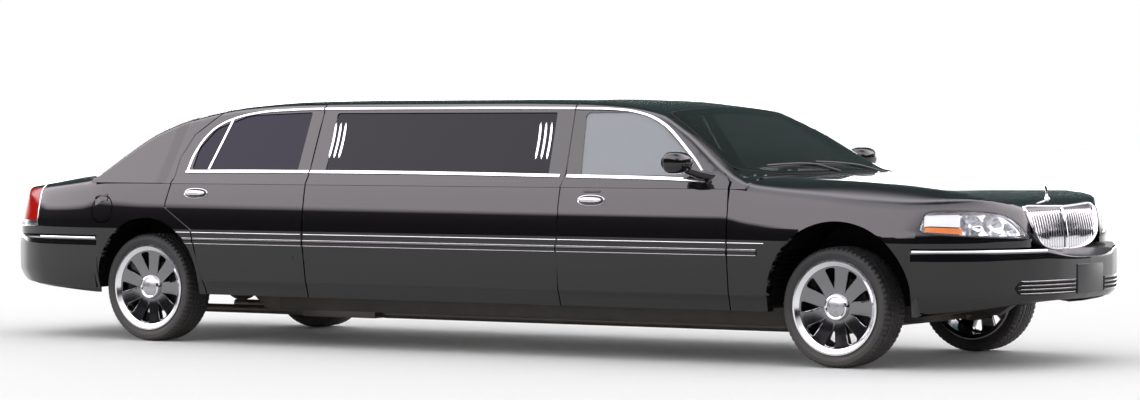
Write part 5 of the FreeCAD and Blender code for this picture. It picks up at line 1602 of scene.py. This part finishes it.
def make_grille():
    """Bright shell, fine upright bars with a centre divider, a dark sheet of painted shade behind
    them, and the ornament.
    """
    half = rounded(GRILLE_LINE)
    loop = [(-y, z) for y, z in half] + [(y, z) for y, z in half[::-1][1:-1]]
    spots = np.array([nose_spot(y, z, 0.004) for y, z in loop])
    normals = np.tile((1.0, 0.0, 0.12), (len(loop), 1))
    profile = [(-0.0085, -0.040), (-0.009, 0.000), (-0.006, 0.008), (-0.001, 0.010),
               (0.004, 0.008), (0.008, 0.000), (0.0085, -0.040)]
    shell = sweep(spots, normals, profile, ring=True)
    finish_piece(shell, "grille-shell", "car_body", "chrome", 45)
    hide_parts("grille")
    bars = []
    for y in np.arange(-13, 14) * BAR_PITCH:
        limits = grille_limits(y)
        if limits is None or limits[1] - limits[0] < 0.03:
            continue
        wide, lift = (DIVIDER_HALF, 0.0) if abs(y) < 0.001 else (BAR_HALF, -0.010)
        zs = np.linspace(*limits, 12)
        path = np.array([nose_spot(y, z, lift) for z in zs])
        bars.append(sweep(path, np.tile((1.0, 0.0, 0.0), (len(zs), 1)),
                          [(-wide, -0.012), (-wide, 0.004), (-wide * 0.4, 0.0085),
                           (wide * 0.4, 0.0085), (wide, 0.004), (wide, -0.012)]))
    finish_piece(join(bars), "grille-bars", "car_body", "chrome", 40)
    # Dark sheet behind the bars: painted shade for the space behind the grille.
    rows = []
    for y in np.linspace(-0.395, 0.395, 34):
        low, high = grille_limits(y)
        rows.append([nose_spot(y, z, -0.038) for z in np.linspace(low, high, 10)])
    finish_piece(sheet(rows, thick=-0.003), "grille-painted-shade", "car_body", "black-and-painted-shade")
    make_ornament()


# Nose figure: share of its height, half width and half depth.
ORNAMENT = ((0, 0.010, 0.017), (0.10, 0.0095, 0.015), (0.16, 0.004, 0.006),
            (0.40, 0.0036, 0.0065), (0.70, 0.0032, 0.0085), (0.90, 0.0028, 0.0090),
            (0.975, 0.0018, 0.0060), (1.0, 0.0006, 0.0020))
ORNAMENT_X, ORNAMENT_TALL = 3.338, 0.080


def make_ornament():
    """Plain slim upright figure on the nose of the hood."""
    spot, _ = BODY.ray((ORNAMENT_X, 0.0, ABOVE), DOWN)
    foot = spot[2] - 0.002
    rows = []
    for share, wide, deep in ORNAMENT:
        z, x = foot + ORNAMENT_TALL * share, ORNAMENT_X - 0.010 * share
        rows.append([(x + deep * math.cos(a), wide * math.sin(a), z) for a in turns(24)])
    finish_piece(sheet(rows, around=True, capped=True), "nose-ornament", "hood_body", "chrome", 60)


# ------------------------------------------------------------------ mirrors, handles, wipers
MIRROR_AT, MIRROR_SIZE = np.array([1.600, -1.036, 1.104]), np.array([0.088, 0.086, 0.062])
# Arm of a mirror: middle, half length and half height of its sections.
MIRROR_ARM = [((1.640, -0.990, 1.062), 0.036, 0.016), ((1.668, -0.958, 1.048), 0.040, 0.020),
              ((1.700, -0.926, 1.034), 0.052, 0.026), ((1.712, -0.905, 1.026), 0.066, 0.034)]


def make_mirrors():
    """Rounded mirror heads with their glass, on feet at the window's front corner."""
    for name, piece, material in (("head", join([mirror_head(), mirror_foot(), mirror_sail()]),
                                   "gloss-paint"), ("glass", mirror_pane(), "reflector")):
        pair = finish_pair(piece, "mirror-" + name, "front_door_body", material, 50)
        if name == "head":
            for obj, (word, _) in zip(pair, SIDES):
                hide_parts("door_mirror_" + word)


def mirror_head():
    """Rounded shell, flatter at the side of its glass."""
    rows = []
    for a in np.linspace(-math.pi / 2, math.pi / 2, 26):
        row = []
        for b in turns(48):
            c, s = math.cos(a), math.sin(a)
            cx, cz = math.cos(b), math.sin(b)
            front = abs(cx) ** 0.75 * (1.0 if cx > 0 else 0.55)
            x = c ** 0.55 * math.copysign(front, cx)
            z = c ** 0.55 * math.copysign(abs(cz) ** 0.75, cz)
            y = math.copysign(abs(s) ** 0.7, s)
            row.append(MIRROR_AT + MIRROR_SIZE * (x, -y, z * (1 - 0.10 * (y < 0) * abs(y))))
        rows.append(row)
    head = sheet(rows, around=True)
    edit(head, (bpy.ops.mesh.remove_doubles, {"threshold": 2e-5}))
    face_out(head)
    return head


def mirror_foot():
    """Arm from the door to the head."""
    return sheet([[np.array(spot) + (long * math.cos(b), 0, tall * math.sin(b))
                   for b in turns(28)] for spot, long, tall in MIRROR_ARM],
                 around=True, capped=True)


def mirror_pane():
    """Slightly domed mirror glass."""
    x = MIRROR_AT[0] - MIRROR_SIZE[0] * 0.565
    return sheet([[(x - 0.0015 + 0.003 * share ** 2, MIRROR_AT[1] + 0.070 * share * math.cos(b),
                    MIRROR_AT[2] + 0.045 * share * math.sin(b)) for b in turns(36)]
                  for share in np.linspace(0.02, 1, 8)], around=True, capped=True)


def mirror_sail():
    """Black corner piece of the front window that the mirror's foot stands on."""
    rows = []
    for share in np.linspace(0, 1, 10):
        x = 1.585 + 0.150 * share
        places = [(x, z) for z in np.linspace(1.006, 1.130 - 0.118 * share, 8)]
        spots, normals = WHOLE.along_side(places)
        rows.append(spots + 0.004 * normals)
    return sheet(rows, thick=-0.010)


def side_frame(x, z):
    """Spot on the right side, and the directions along, up and out there."""
    spot, out = WHOLE.side(x, z)
    along = np.array([1.0, 0, 0]) - out * out[0]
    along /= np.linalg.norm(along)
    up = np.cross(out, along)
    return spot, along, up if up[2] > 0 else -up, out


def oval_boss(frame_at, rings, power, thick=0.0):
    """Oval boss out of rings, each of them (half length, half height, rise)."""
    spot, along, up, out = frame_at
    rows = []
    for long, tall, rise in rings:
        row = []
        for b in turns(40):
            c, s = math.cos(b), math.sin(b)
            c = math.copysign(abs(c) ** (2 / power), c)
            s = math.copysign(abs(s) ** (2 / power), s)
            row.append(spot + along * long * c + up * tall * s + out * rise)
        rows.append(row)
    return sheet(rows, around=True, capped=True, thick=thick)


HANDLES = (("front", 1.001, 0.889), ("rear", -1.838, 0.902))
HANDLE_RING = [(0.090, 0.031, -0.003), (0.0895, 0.0305, 0.0030), (0.087, 0.0285, 0.0042),
               (0.083, 0.0260, 0.0020), (0.082, 0.0250, -0.003)]
HANDLE_RECESS = [(0.084, 0.0265, 0.0012), (0.060, 0.018, 0.0009), (0.010, 0.003, 0.0008)]
HANDLE_PULL = [(0.066, 0.0090, 0.001), (0.072, 0.0135, 0.010), (0.071, 0.0140, 0.017),
               (0.064, 0.0110, 0.0225), (0.045, 0.0055, 0.0245), (0.004, 0.0008, 0.0247)]
KEY_BAR = [(0.056, 0.0060, -0.002), (0.056, 0.0060, 0.0025), (0.0545, 0.0047, 0.0038),
           (0.040, 0.0020, 0.0040), (0.002, 0.0004, 0.0040)]


def make_handles():
    """Bright pull handles in dark oval recesses, and the plain key bar above the front ones."""
    for end, x, z in HANDLES:
        at = side_frame(x, z)
        groups = [("handle-ring", oval_boss(at, HANDLE_RING, 2.3), "chrome"),
                  ("handle-recess", oval_boss(at, HANDLE_RECESS, 2.3, -0.002), "satin-black"),
                  ("handle-pull", oval_boss(at, HANDLE_PULL, 3.0), "chrome")]
        if end == "front":
            groups.append(("key-bar", oval_boss(side_frame(1.000, 0.9385), KEY_BAR, 6),
                           "satin-black"))
        for name, piece, material in groups:
            finish_pair(piece, "%s-%s" % (name, end), end + "_door_body", material, 50)


# Pivot, elbow and tip of each wiper arm in plan.
WIPERS = (((1.985, 0.105), (1.900, -0.060), (1.872, -0.520)),
          ((1.985, 0.620), (1.905, 0.450), (1.878, 0.010)))


def make_wipers():
    """Two wipers resting at the foot of the windscreen."""
    pieces = []
    for start, elbow, tip in WIPERS:
        blade = [(tip[0] + 0.012, tip[1] - 0.06), (elbow[0] - 0.008, elbow[1] - 0.06)]
        for points, lift, profile in (([start, elbow, tip], 0.012, rounded_bar(0.006, 0.006, 0.004)),
                                      (blade, 0.003, rounded_bar(0.0045, 0.006, 0.003))):
            places = [(x, y, ABOVE) for x, y in resample(points, 0.03)]
            pieces.append(sweep(*CABIN.trace(places, DOWN, lift), profile))
    finish_piece(join(pieces), "wipers", "car_body", "satin-black")


# ------------------------------------------------------------------ seats
def closed_line(points, rounds=CORNER_ROUNDS, count=84):
    """Closed outline with its corners rounded, evenly divided."""
    points = np.asarray(points, float)
    for _ in range(rounds):
        ahead = np.roll(points, -1, 0)
        cut = np.empty((2 * len(points), points.shape[1]))
        cut[0::2], cut[1::2] = 0.75 * points + 0.25 * ahead, 0.25 * points + 0.75 * ahead
        points = cut
    return respaced(np.concatenate((points, points[:1])), count + 1)[:-1]


def outline_normals(line):
    """Outward normals of a closed outline."""
    ahead = np.roll(line, -1, 0) - np.roll(line, 1, 0)
    normal = np.stack((ahead[:, 1], -ahead[:, 0]), 1)
    normal /= np.linalg.norm(normal, axis=1)[:, None]
    return normal if ((line - line.mean(0)) * normal).sum() > 0 else -normal


ROLL, CROWN = 0.026, 0.014          # radius at a cushion's ends, and its middle's height
CHANNEL_DEPTH, CHANNEL_HALF = 0.011, 0.008
PIPE = 0.0032


def cushion(outline, ends, place, facing, channels):
    """Padded piece with rolled ends, a crown and sewn channels: (cushion, piping)."""
    line = closed_line(outline)
    normal = outline_normals(line)
    facing = np.asarray(facing, float) / np.linalg.norm(facing)
    sat_on = np.clip(normal @ facing * 1.8 - 0.6, 0, 1)
    low, high = ends
    middle, half = (low + high) / 2, (high - low) / 2
    steps = np.concatenate([np.linspace(low, high, max(int((high - low) / 0.025), 9)),
                            low + ROLL * (1 - np.cos(np.linspace(0, math.pi / 2, 7))),
                            high - ROLL * (1 - np.cos(np.linspace(0, math.pi / 2, 7)))]
                           + [c + CHANNEL_HALF * np.linspace(-2, 2, 9) for c in channels])
    rows = []
    for c in np.unique(np.round(steps, 4)):
        end = min(c - low, high - c) / ROLL
        sink = ROLL * (1 - math.sqrt(max(1 - (1 - min(end, 1)) ** 2, 0)))
        groove = sum(CHANNEL_DEPTH * math.exp(-((c - at) / CHANNEL_HALF) ** 2) for at in channels)
        bow = CROWN * ((c - middle) / half) ** 2
        row = []
        for (a, b), (u, v), seat in zip(line, normal, sat_on):
            soft = 0.0025 * (noise.noise(Vector((a, b, c)) * 9.0) + 1)
            inset = sink + seat * (groove + bow) + soft * (0.3 + 0.7 * seat)
            row.append(place(a - u * inset, b - v * inset, c))
        rows.append(row)
    pad = sheet(rows, around=True, capped=True)
    piping = []
    for c, side in ((low + 0.35 * ROLL, -1), (high - 0.35 * ROLL, 1)):
        inset = ROLL * (1 - math.sqrt(1 - 0.65 ** 2)) + 0.0015
        spots = [place(a - u * inset, b - v * inset, c) for (a, b), (u, v) in zip(line, normal)]
        out = [np.array(place(u, v, side * 0.8)) - np.array(place(0, 0, 0)) for u, v in normal]
        profile = [(PIPE * math.cos(t), PIPE * math.sin(t)) for t in turns(8)]
        piping.append(sweep(spots, out, profile, ring=True))
    return pad, piping


def level(a, b, c):
    """Outline in the side view, carried across the car."""
    return (a, c, b)


def lengthwise(a, b, c):
    """Outline in the cross-section, carried along the car."""
    return (c, a, b)


SEAT_FOOT = 0.3225
CUSHION_Z = 0.440


def make_seats():
    """Two front seats, the rear bench and the side bench, with piped and channelled cushions."""
    x, rear = FRONT - 1.480, REAR + 0.330
    wall = (REAR + 1.376, FRONT - 2.060)
    pads, pipes, bases = [], [], []
    for y in (-0.380, 0.380):
        ends = (y - 0.249, y + 0.249)
        lines = y + np.array([-0.15, -0.05, 0.05, 0.15])
        pads.append(("front", cushion(
            [(x - 0.250, CUSHION_Z), (x + 0.205, CUSHION_Z), (x + 0.243, 0.470),
             (x + 0.228, 0.566), (x + 0.100, 0.562), (x - 0.170, 0.536), (x - 0.262, 0.530)],
            ends, level, (0, 1), lines)))
        pads.append(("front", cushion(
            [(x - 0.337, 0.450), (x - 0.195, 0.480), (x - 0.172, 0.560), (x - 0.238, 0.790),
             (x - 0.298, 1.022), (x - 0.402, 1.038), (x - 0.404, 0.990), (x - 0.365, 0.740)],
            ends, level, (1, 0.25), lines)))
        bases.append(("front", box_piece((x - 0.325, y - 0.235, SEAT_FOOT),
                                         (x + 0.168, y + 0.235, 0.462), 0.012)))
    lines = np.linspace(-0.48, 0.48, 9)
    pads.append(("rear", cushion(
        [(rear + 0.280, CUSHION_Z), (rear + 0.855, CUSHION_Z), (rear + 0.876, 0.470),
         (rear + 0.868, 0.604), (rear + 0.600, 0.594), (rear + 0.300, 0.570), (rear + 0.250, 0.550)],
        (-0.589, 0.589), level, (0, 1), lines)))
    pads.append(("rear", cushion(
        [(rear + 0.185, 0.600), (rear + 0.270, 0.500), (rear + 0.318, 0.560), (rear + 0.240, 0.760),
         (rear + 0.132, 1.006), (rear - 0.019, 1.014), (rear + 0.030, 0.930), (rear + 0.110, 0.770)],
        (-0.589, 0.589), level, (1, 0.35), lines)))
    bases.append(("rear", box_piece((rear + 0.335, -0.584, SEAT_FOOT),
                                    (rear + 0.860, 0.584, 0.462), 0.012)))
    lines = np.linspace(wall[0] + 0.12, wall[1] - 0.12, 10)
    pads.append(("rear", cushion(
        [(0.450, CUSHION_Z), (0.430, 0.460), (0.428, 0.570), (0.450, 0.586), (0.600, 0.584),
         (0.770, 0.572), (0.777, 0.500), (0.770, CUSHION_Z)],
        wall, lengthwise, (0, 1), lines)))
    pads.append(("rear", cushion(
        [(0.742, 0.560), (0.745, 0.640), (0.762, 0.780), (0.776, 0.903), (0.849, 0.903),
         (0.850, 0.720), (0.850, 0.540), (0.770, 0.535)],
        wall, lengthwise, (-1, 0.1), lines)))
    bases.append(("rear", box_piece((wall[0] + 0.004, 0.434, SEAT_FOOT),
                                    (wall[1] - 0.004, 0.775, 0.462), 0.012)))
    for index, (node, (pad, piping)) in enumerate(pads):
        finish_piece(pad, "%s-cushion-%d" % (node, index + 1), "car_body", "black-leather", 60)
        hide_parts(node + "_seats")
        pipes += piping
    finish_piece(join(pipes), "seat-piping", "car_body", "black-rubber", 60)
    for index, (node, base) in enumerate(bases):
        finish_piece(base, "%s-seat-base-%d" % (node, index + 1), "car_body", "moulded-plastic")


# ------------------------------------------------------------------ cabin
def soft_edged(node, body, material, width=0.004, second=None, marking=None):
    """CAD piece with its edges rounded, standing in its place."""
    obj = node_copy(node)
    edit(obj, (bpy.ops.mesh.dissolve_limited, {"angle_limit": math.radians(1.5)}))
    modify(obj, "BEVEL", width=width, segments=2, limit_method="ANGLE",
           angle_limit=math.radians(50))
    if marking:
        _, centres, normals = mesh_arrays(obj.data)
        obj.data.polygons.foreach_set(
            "material_index", [int(marking(c, n)) for c, n in zip(centres, normals)])
    finish_piece(obj, node.replace("_", "-") + "-finish", body, material, 40, second)
    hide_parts(node)
    return obj


def ring_piece(centre, axis, radius, thick):
    """Round bar bent to a circle about an axis."""
    axis = np.asarray(axis, float) / np.linalg.norm(axis)
    side = np.cross(axis, (0, 0, 1) if abs(axis[2]) < 0.9 else (1, 0, 0))
    side /= np.linalg.norm(side)
    up = np.cross(axis, side)
    rows = []
    for t in turns(72):
        out = side * math.cos(t) + up * math.sin(t)
        rows.append([np.asarray(centre) + out * (radius + thick * math.cos(a))
                     + axis * thick * math.sin(a) for a in turns(14)])
    return sheet(rows, around=True, along=True)


WHEEL_AXIS = np.array([-0.9, 0.0, 0.436]) / math.hypot(0.9, 0.436)


def make_steering_wheel():
    """Leather rim, three flat spokes and a soft hub pad."""
    foot = np.array([FRONT - 0.900, 0.380, 0.790]) + WHEEL_AXIS * 0.1905
    ring_at = foot + WHEEL_AXIS * 0.030
    across, up = np.array([0.0, 1.0, 0.0]), np.cross(WHEEL_AXIS, (0, 1, 0))
    up = up if up[2] > 0 else -up
    rim = ring_piece(ring_at, WHEEL_AXIS, 0.185, 0.0138)
    pad = oval_boss((foot, across, up, WHEEL_AXIS), [
        (0.052, 0.046, 0.001), (0.058, 0.052, 0.008), (0.059, 0.053, 0.022), (0.052, 0.046, 0.034),
        (0.030, 0.026, 0.0395), (0.002, 0.002, 0.040)], 3.2)
    spokes = []
    for direction in (across, -across, -up):
        spots = [ring_at + direction * d for d in np.linspace(0.045, 0.182, 12)]
        spokes.append(sweep(spots, [WHEEL_AXIS] * 12, [
            (-0.017, -0.003), (-0.014, 0.005), (-0.006, 0.0075), (0.006, 0.0075), (0.014, 0.005),
            (0.017, -0.003), (0.008, -0.006), (-0.008, -0.006)]))
    for name, piece, material in (("steering-rim", rim, "black-leather"),
                                  ("steering-pad", pad, "moulded-plastic"),
                                  ("steering-spokes", join(spokes), "satin-black")):
        finish_piece(piece, name, "steering_wheel_body", material, 50)
    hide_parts("steering_wheel")


def make_dashboard():
    """Dashboard with binnacle, dials, vents, centre panel and glove box."""
    soft_edged("dashboard", "car_body", "moulded-plastic", 0.008)
    face = FRONT - 0.980
    hoods = [box_piece((face + 0.004, 0.200, 0.845), (face + 0.150, 0.560, 0.957), 0.016),
             box_piece((face + 0.014, -0.640, 0.690), (face + 0.060, -0.210, 0.790), 0.010)]
    finish_piece(join(hoods), "dash-mouldings", "car_body", "moulded-plastic")
    dark = [box_piece((face + 0.001, 0.222, 0.862), (face + 0.010, 0.538, 0.943), 0.004),
            box_piece((face, -0.135, 0.700), (face + 0.050, 0.135, 0.905), 0.008)]
    bright = []
    for y in (0.300, 0.460):
        bright.append(ring_piece((face, y, 0.902), (1, 0, 0), 0.034, 0.0022))
    for y in (-0.075, 0.0, 0.075):
        bright.append(oval_boss(
            ((face, y, 0.740), *np.array([(0.0, 1, 0), (0, 0, 1), (-1, 0, 0)])),
            [(0.018, 0.018, -0.004), (0.018, 0.018, 0.006), (0.015, 0.015, 0.009),
             (0.001, 0.001, 0.0095)], 2))
    slats = []
    for y in (-0.640, -0.240, 0.170, 0.640):
        dark.append(box_piece((face + 0.002, y - 0.052, 0.835),
                              (face + 0.040, y + 0.052, 0.885), 0.004))
        for z in (0.845, 0.855, 0.865, 0.875):
            slats.append(box_piece((face, y - 0.046, z - 0.0018),
                                   (face + 0.012, y + 0.046, z + 0.0018), 0.001, 1))
    finish_piece(join(dark), "dash-panels", "car_body", "satin-black")
    finish_piece(join(bright), "dash-rings", "car_body", "chrome")
    finish_piece(join(slats), "dash-vent-slats", "car_body", "satin-alloy")


def make_partition():
    """Upholstered partition with a veneered frame round its opening."""
    soft_edged("partition", "car_body", "black-leather", 0.008)
    opening = [(-0.480, 0.960), (-0.450, 1.150), (-0.420, 1.340), (0.0, 1.340), (0.420, 1.340),
               (0.450, 1.150), (0.480, 0.960), (0.0, 0.960)]
    line = closed_line(opening, rounds=1, count=120)
    frames = []
    for x, aim in ((FRONT - 1.960, -1), (FRONT - 1.900, 1)):
        spots = [(x, y, z) for y, z in line]
        frames.append(sweep(spots, [(aim, 0, 0)] * len(spots), rounded_bar(0.020, 0.006),
                            ring=True))
    finish_piece(join(frames), "partition-frame", "car_body", "dark-veneer")


def make_bar():
    """Bar cabinet with its counter, doors, pulls and cup rings."""
    soft_edged("bar_cabinet", "car_body", "dark-veneer", 0.005)
    low, high = REAR + 1.556, FRONT - 2.060
    counter = box_piece((low + 0.002, -0.846, 0.8585), (high - 0.002, -0.592, 0.8645), 0.002)
    finish_piece(counter, "bar-counter", "car_body", "satin-black")

    def front(z):
        return -0.588 + (0.860 - z) * 0.0558
    doors, pulls = [], []
    edges = np.linspace(low + 0.02, high - 0.02, 6)
    for x0, x1 in zip(edges, edges[1:]):
        rows = [[(x, front(z) + 0.004, z) for z in np.linspace(0.370, 0.815, 5)]
                for x in (x0 + 0.008, x1 - 0.008)]
        door = sheet(rows, thick=-0.006)
        modify(door, "BEVEL", width=0.002, segments=2, limit_method="ANGLE")
        doors.append(door)
        middle = (x0 + x1) / 2
        pull = [(middle + t * 0.045, front(0.775) + 0.004, 0.775) for t in np.linspace(-1, 1, 9)]
        pulls.append(sweep(pull, [(0, 1, 0)] * 9, rounded_bar(0.004, 0.010)))
    for x in np.linspace(low + 0.12, high - 0.12, 6):
        pulls.append(ring_piece((x, -0.690, 0.8650), (0, 0, 1), 0.036, 0.0022))
    rail = [(x, -0.592, 0.8600) for x in np.linspace(low + 0.004, high - 0.004, 20)]
    pulls.append(sweep(rail, [(0, 1, 0.3)] * 20, rounded_bar(0.005, 0.006)))
    finish_piece(join(doors), "bar-doors", "car_body", "dark-veneer")
    finish_piece(join(pulls), "bar-brightwork", "car_body", "chrome")


DOOR_LININGS = (("front", FRONT - 1.560, FRONT - 1.020), ("rear", REAR + 0.600, REAR + 1.000))


def make_door_linings():
    """Armrests and inner pulls on the four doors."""
    for end, x0, x1 in DOOR_LININGS:
        rest = box_piece((x0, -0.932, 0.610), (x1, -0.872, 0.655), 0.014, 4)
        pull = [((x0 + x1) / 2 + t * 0.055, -0.928, 0.735) for t in np.linspace(-1, 1, 11)]
        bar = sweep(pull, [(0, 1, 0)] * 11, rounded_bar(0.009, 0.014))
        for obj in finish_pair(rest, end + "-armrest", end + "_door_body", "black-leather"):
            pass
        finish_pair(bar, end + "-inner-pull", end + "_door_body", "chrome")


# ------------------------------------------------------------------ underside
UNDERSIDE = (("chassis_frame", "car_body", "underbody-steel", 0.004),
             ("cowl_firewall", "car_body", "satin-black", 0.0025),
             ("engine_block", "car_body", "cast-iron", 0.012),
             ("rear_axle", "car_body", "cast-iron", 0.003),
             ("front_suspension", "car_body", "cast-iron", 0.003),
             ("exhaust_system", "car_body", "exhaust-steel", 0.006),
             ("fuel_tank", "car_body", "underbody-steel", 0.020),
             ("steering_knuckle_right", "knuckle_right", "cast-iron", 0.003),
             ("steering_knuckle_left", "knuckle_left", "cast-iron", 0.003))


def make_underside():
    """Frame, axles, engine, exhaust and tank with rounded edges, and the carpeted floor."""
    for node, body, material, width in UNDERSIDE:
        soft_edged(node, body, material, width)
    soft_edged("floor_pan", "car_body", "underbody-steel", 0.003, "cabin-carpet",
               lambda centre, normal: normal[2] > 0.3 or (abs(normal[2]) < 0.3 and centre[2] > 0.33))
    straps = []
    for x in (REAR - 0.690, REAR - 0.880):
        path = [(x, y, 0.3195) for y in np.linspace(-0.368, 0.368, 16)]
        straps.append(sweep(path, [(0, 0, -1)] * 16, rounded_bar(0.016, 0.003)))
    finish_piece(join(straps), "tank-straps", "car_body", "underbody-steel")


BOOT_STRIP = 0.742


def make_boot_strip():
    """Bright strip across the boot lid above the plate."""
    path = WHOLE.trace([(-AHEAD, y, BOOT_STRIP) for y in np.linspace(-0.560, 0.560, 60)], FORWARD)
    finish_piece(sweep(*path, rounded_bar(0.011, 0.007)), "boot-strip", "trunk_body", "chrome")


# ------------------------------------------------------------------ operators
class LimousineLook(bpy.types.PropertyGroup):
    """Colours and sizes that a user may change."""

    paint: bpy.props.FloatVectorProperty(
        name="Paint", description="Colour of the painted panels", subtype="COLOR", size=3,
        default=(0.0035, 0.0030, 0.0038), min=0, max=1)
    sky_strength: bpy.props.FloatProperty(
        name="Sky strength", description="Brightness of the bands mirrored in gloss",
        default=4.7, min=0)
    floor_radius: bpy.props.FloatProperty(
        name="Floor radius", description="Radius of the round studio floor",
        default=90.0, min=5, unit="LENGTH")


class StageStep(bpy.types.Operator):
    """Camera, pale floor and soft surroundings"""

    bl_idname = "limousine.stage"
    bl_label = "Camera, floor and light"

    def execute(self, context):
        look = context.scene.limousine_look
        make_camera()
        make_floor(look)
        make_world(look)
        return {"FINISHED"}


class FinishesStep(bpy.types.Operator):
    """Paint, metals, rubber, glass, leather and wood"""

    bl_idname = "limousine.finishes"
    bl_label = "Finishes"

    def execute(self, context):
        make_finishes(context.scene.limousine_look)
        return {"FINISHED"}


class PanelsStep(bpy.types.Operator):
    """Painted body panels, doors and lids"""

    bl_idname = "limousine.panels"
    bl_label = "Painted panels"

    def execute(self, context):
        make_panels()
        return {"FINISHED"}


class GlassStep(bpy.types.Operator):
    """Windscreen, rear window and side panes"""

    bl_idname = "limousine.glass"
    bl_label = "Glass"

    def execute(self, context):
        make_glass()
        return {"FINISHED"}


class BumpersStep(bpy.types.Operator):
    """Bumper covers, intakes, plates and bright strips"""

    bl_idname = "limousine.bumpers"
    bl_label = "Bumpers"

    def execute(self, context):
        make_bumpers()
        return {"FINISHED"}


class TrimStep(bpy.types.Operator):
    """Belt, window surrounds, side mouldings and upright bars"""

    bl_idname = "limousine.trim"
    bl_label = "Bright trim"

    def execute(self, context):
        make_trim()
        return {"FINISHED"}


class WheelsStep(bpy.types.Operator):
    """Alloy wheels, centre caps, brake discs and tyres"""

    bl_idname = "limousine.wheels"
    bl_label = "Wheels and tyres"

    def execute(self, context):
        make_wheels()
        return {"FINISHED"}


class HeadlampsStep(bpy.types.Operator):
    """Headlamps with lens, reflectors and amber strip"""

    bl_idname = "limousine.headlamps"
    bl_label = "Headlamps"

    def execute(self, context):
        make_headlamps()
        return {"FINISHED"}


class TailLampsStep(bpy.types.Operator):
    """Tail lamps with their bright edges"""

    bl_idname = "limousine.tail_lamps"
    bl_label = "Tail lamps"

    def execute(self, context):
        make_tail_lamps()
        return {"FINISHED"}


class GrilleStep(bpy.types.Operator):
    """Grille shell, bars and nose ornament"""

    bl_idname = "limousine.grille"
    bl_label = "Grille"

    def execute(self, context):
        make_grille()
        return {"FINISHED"}


class MirrorsStep(bpy.types.Operator):
    """Door mirrors"""

    bl_idname = "limousine.mirrors"
    bl_label = "Door mirrors"

    def execute(self, context):
        make_mirrors()
        return {"FINISHED"}


class HandlesStep(bpy.types.Operator):
    """Door handles and key bars"""

    bl_idname = "limousine.handles"
    bl_label = "Door handles"

    def execute(self, context):
        make_handles()
        return {"FINISHED"}


class WipersStep(bpy.types.Operator):
    """Windscreen wipers"""

    bl_idname = "limousine.wipers"
    bl_label = "Wipers"

    def execute(self, context):
        make_wipers()
        return {"FINISHED"}


class SeatsStep(bpy.types.Operator):
    """Seats with piped and channelled cushions"""

    bl_idname = "limousine.seats"
    bl_label = "Seats"

    def execute(self, context):
        make_seats()
        return {"FINISHED"}


class SteeringWheelStep(bpy.types.Operator):
    """Steering wheel"""

    bl_idname = "limousine.steering_wheel"
    bl_label = "Steering wheel"

    def execute(self, context):
        make_steering_wheel()
        return {"FINISHED"}


class DashboardStep(bpy.types.Operator):
    """Dashboard with its dials and vents"""

    bl_idname = "limousine.dashboard"
    bl_label = "Dashboard"

    def execute(self, context):
        make_dashboard()
        return {"FINISHED"}


class PartitionStep(bpy.types.Operator):
    """Partition between driver and passengers"""

    bl_idname = "limousine.partition"
    bl_label = "Partition"

    def execute(self, context):
        make_partition()
        return {"FINISHED"}


class BarStep(bpy.types.Operator):
    """Bar cabinet of the passenger cabin"""

    bl_idname = "limousine.bar"
    bl_label = "Bar cabinet"

    def execute(self, context):
        make_bar()
        return {"FINISHED"}


class DoorLiningsStep(bpy.types.Operator):
    """Armrests and pulls inside the doors"""

    bl_idname = "limousine.door_linings"
    bl_label = "Door linings"

    def execute(self, context):
        make_door_linings()
        return {"FINISHED"}


class UndersideStep(bpy.types.Operator):
    """Frame, axles, engine, exhaust, tank and floor"""

    bl_idname = "limousine.underside"
    bl_label = "Underside"

    def execute(self, context):
        make_underside()
        return {"FINISHED"}


class BootStripStep(bpy.types.Operator):
    """Bright strip on the boot lid"""

    bl_idname = "limousine.boot_strip"
    bl_label = "Boot strip"

    def execute(self, context):
        make_boot_strip()
        return {"FINISHED"}


STEPS = (FinishesStep, StageStep, PanelsStep, GlassStep, BumpersStep, TrimStep, WheelsStep,
         HeadlampsStep, TailLampsStep, GrilleStep, MirrorsStep, HandlesStep, WipersStep,
         SeatsStep, SteeringWheelStep, DashboardStep, PartitionStep, BarStep, DoorLiningsStep,
         UndersideStep, BootStripStep)


class LimousinePanel(bpy.types.Panel):
    """Steps that build the limousine, in order"""

    bl_idname = "VIEW3D_PT_limousine"
    bl_label = "Stretch limousine"
    bl_space_type = "VIEW_3D"
    bl_region_type = "UI"
    bl_category = "Limousine"

    def draw(self, context):
        look = context.scene.limousine_look
        for field in ("paint", "sky_strength", "floor_radius"):
            self.layout.prop(look, field)
        for step in STEPS:
            self.layout.operator(step.bl_idname)


CLASSES = (LimousineLook,) + STEPS + (LimousinePanel,)


def register():
    for one in CLASSES:
        bpy.utils.register_class(one)
    bpy.types.Scene.limousine_look = bpy.props.PointerProperty(type=LimousineLook)


def unregister():
    del bpy.types.Scene.limousine_look
    for one in reversed(CLASSES):
        bpy.utils.unregister_class(one)


def main():
    register()
    for step in STEPS:
        family, name = step.bl_idname.split(".")
        getattr(getattr(bpy.ops, family), name)()


if __name__ == "__main__":
    main()
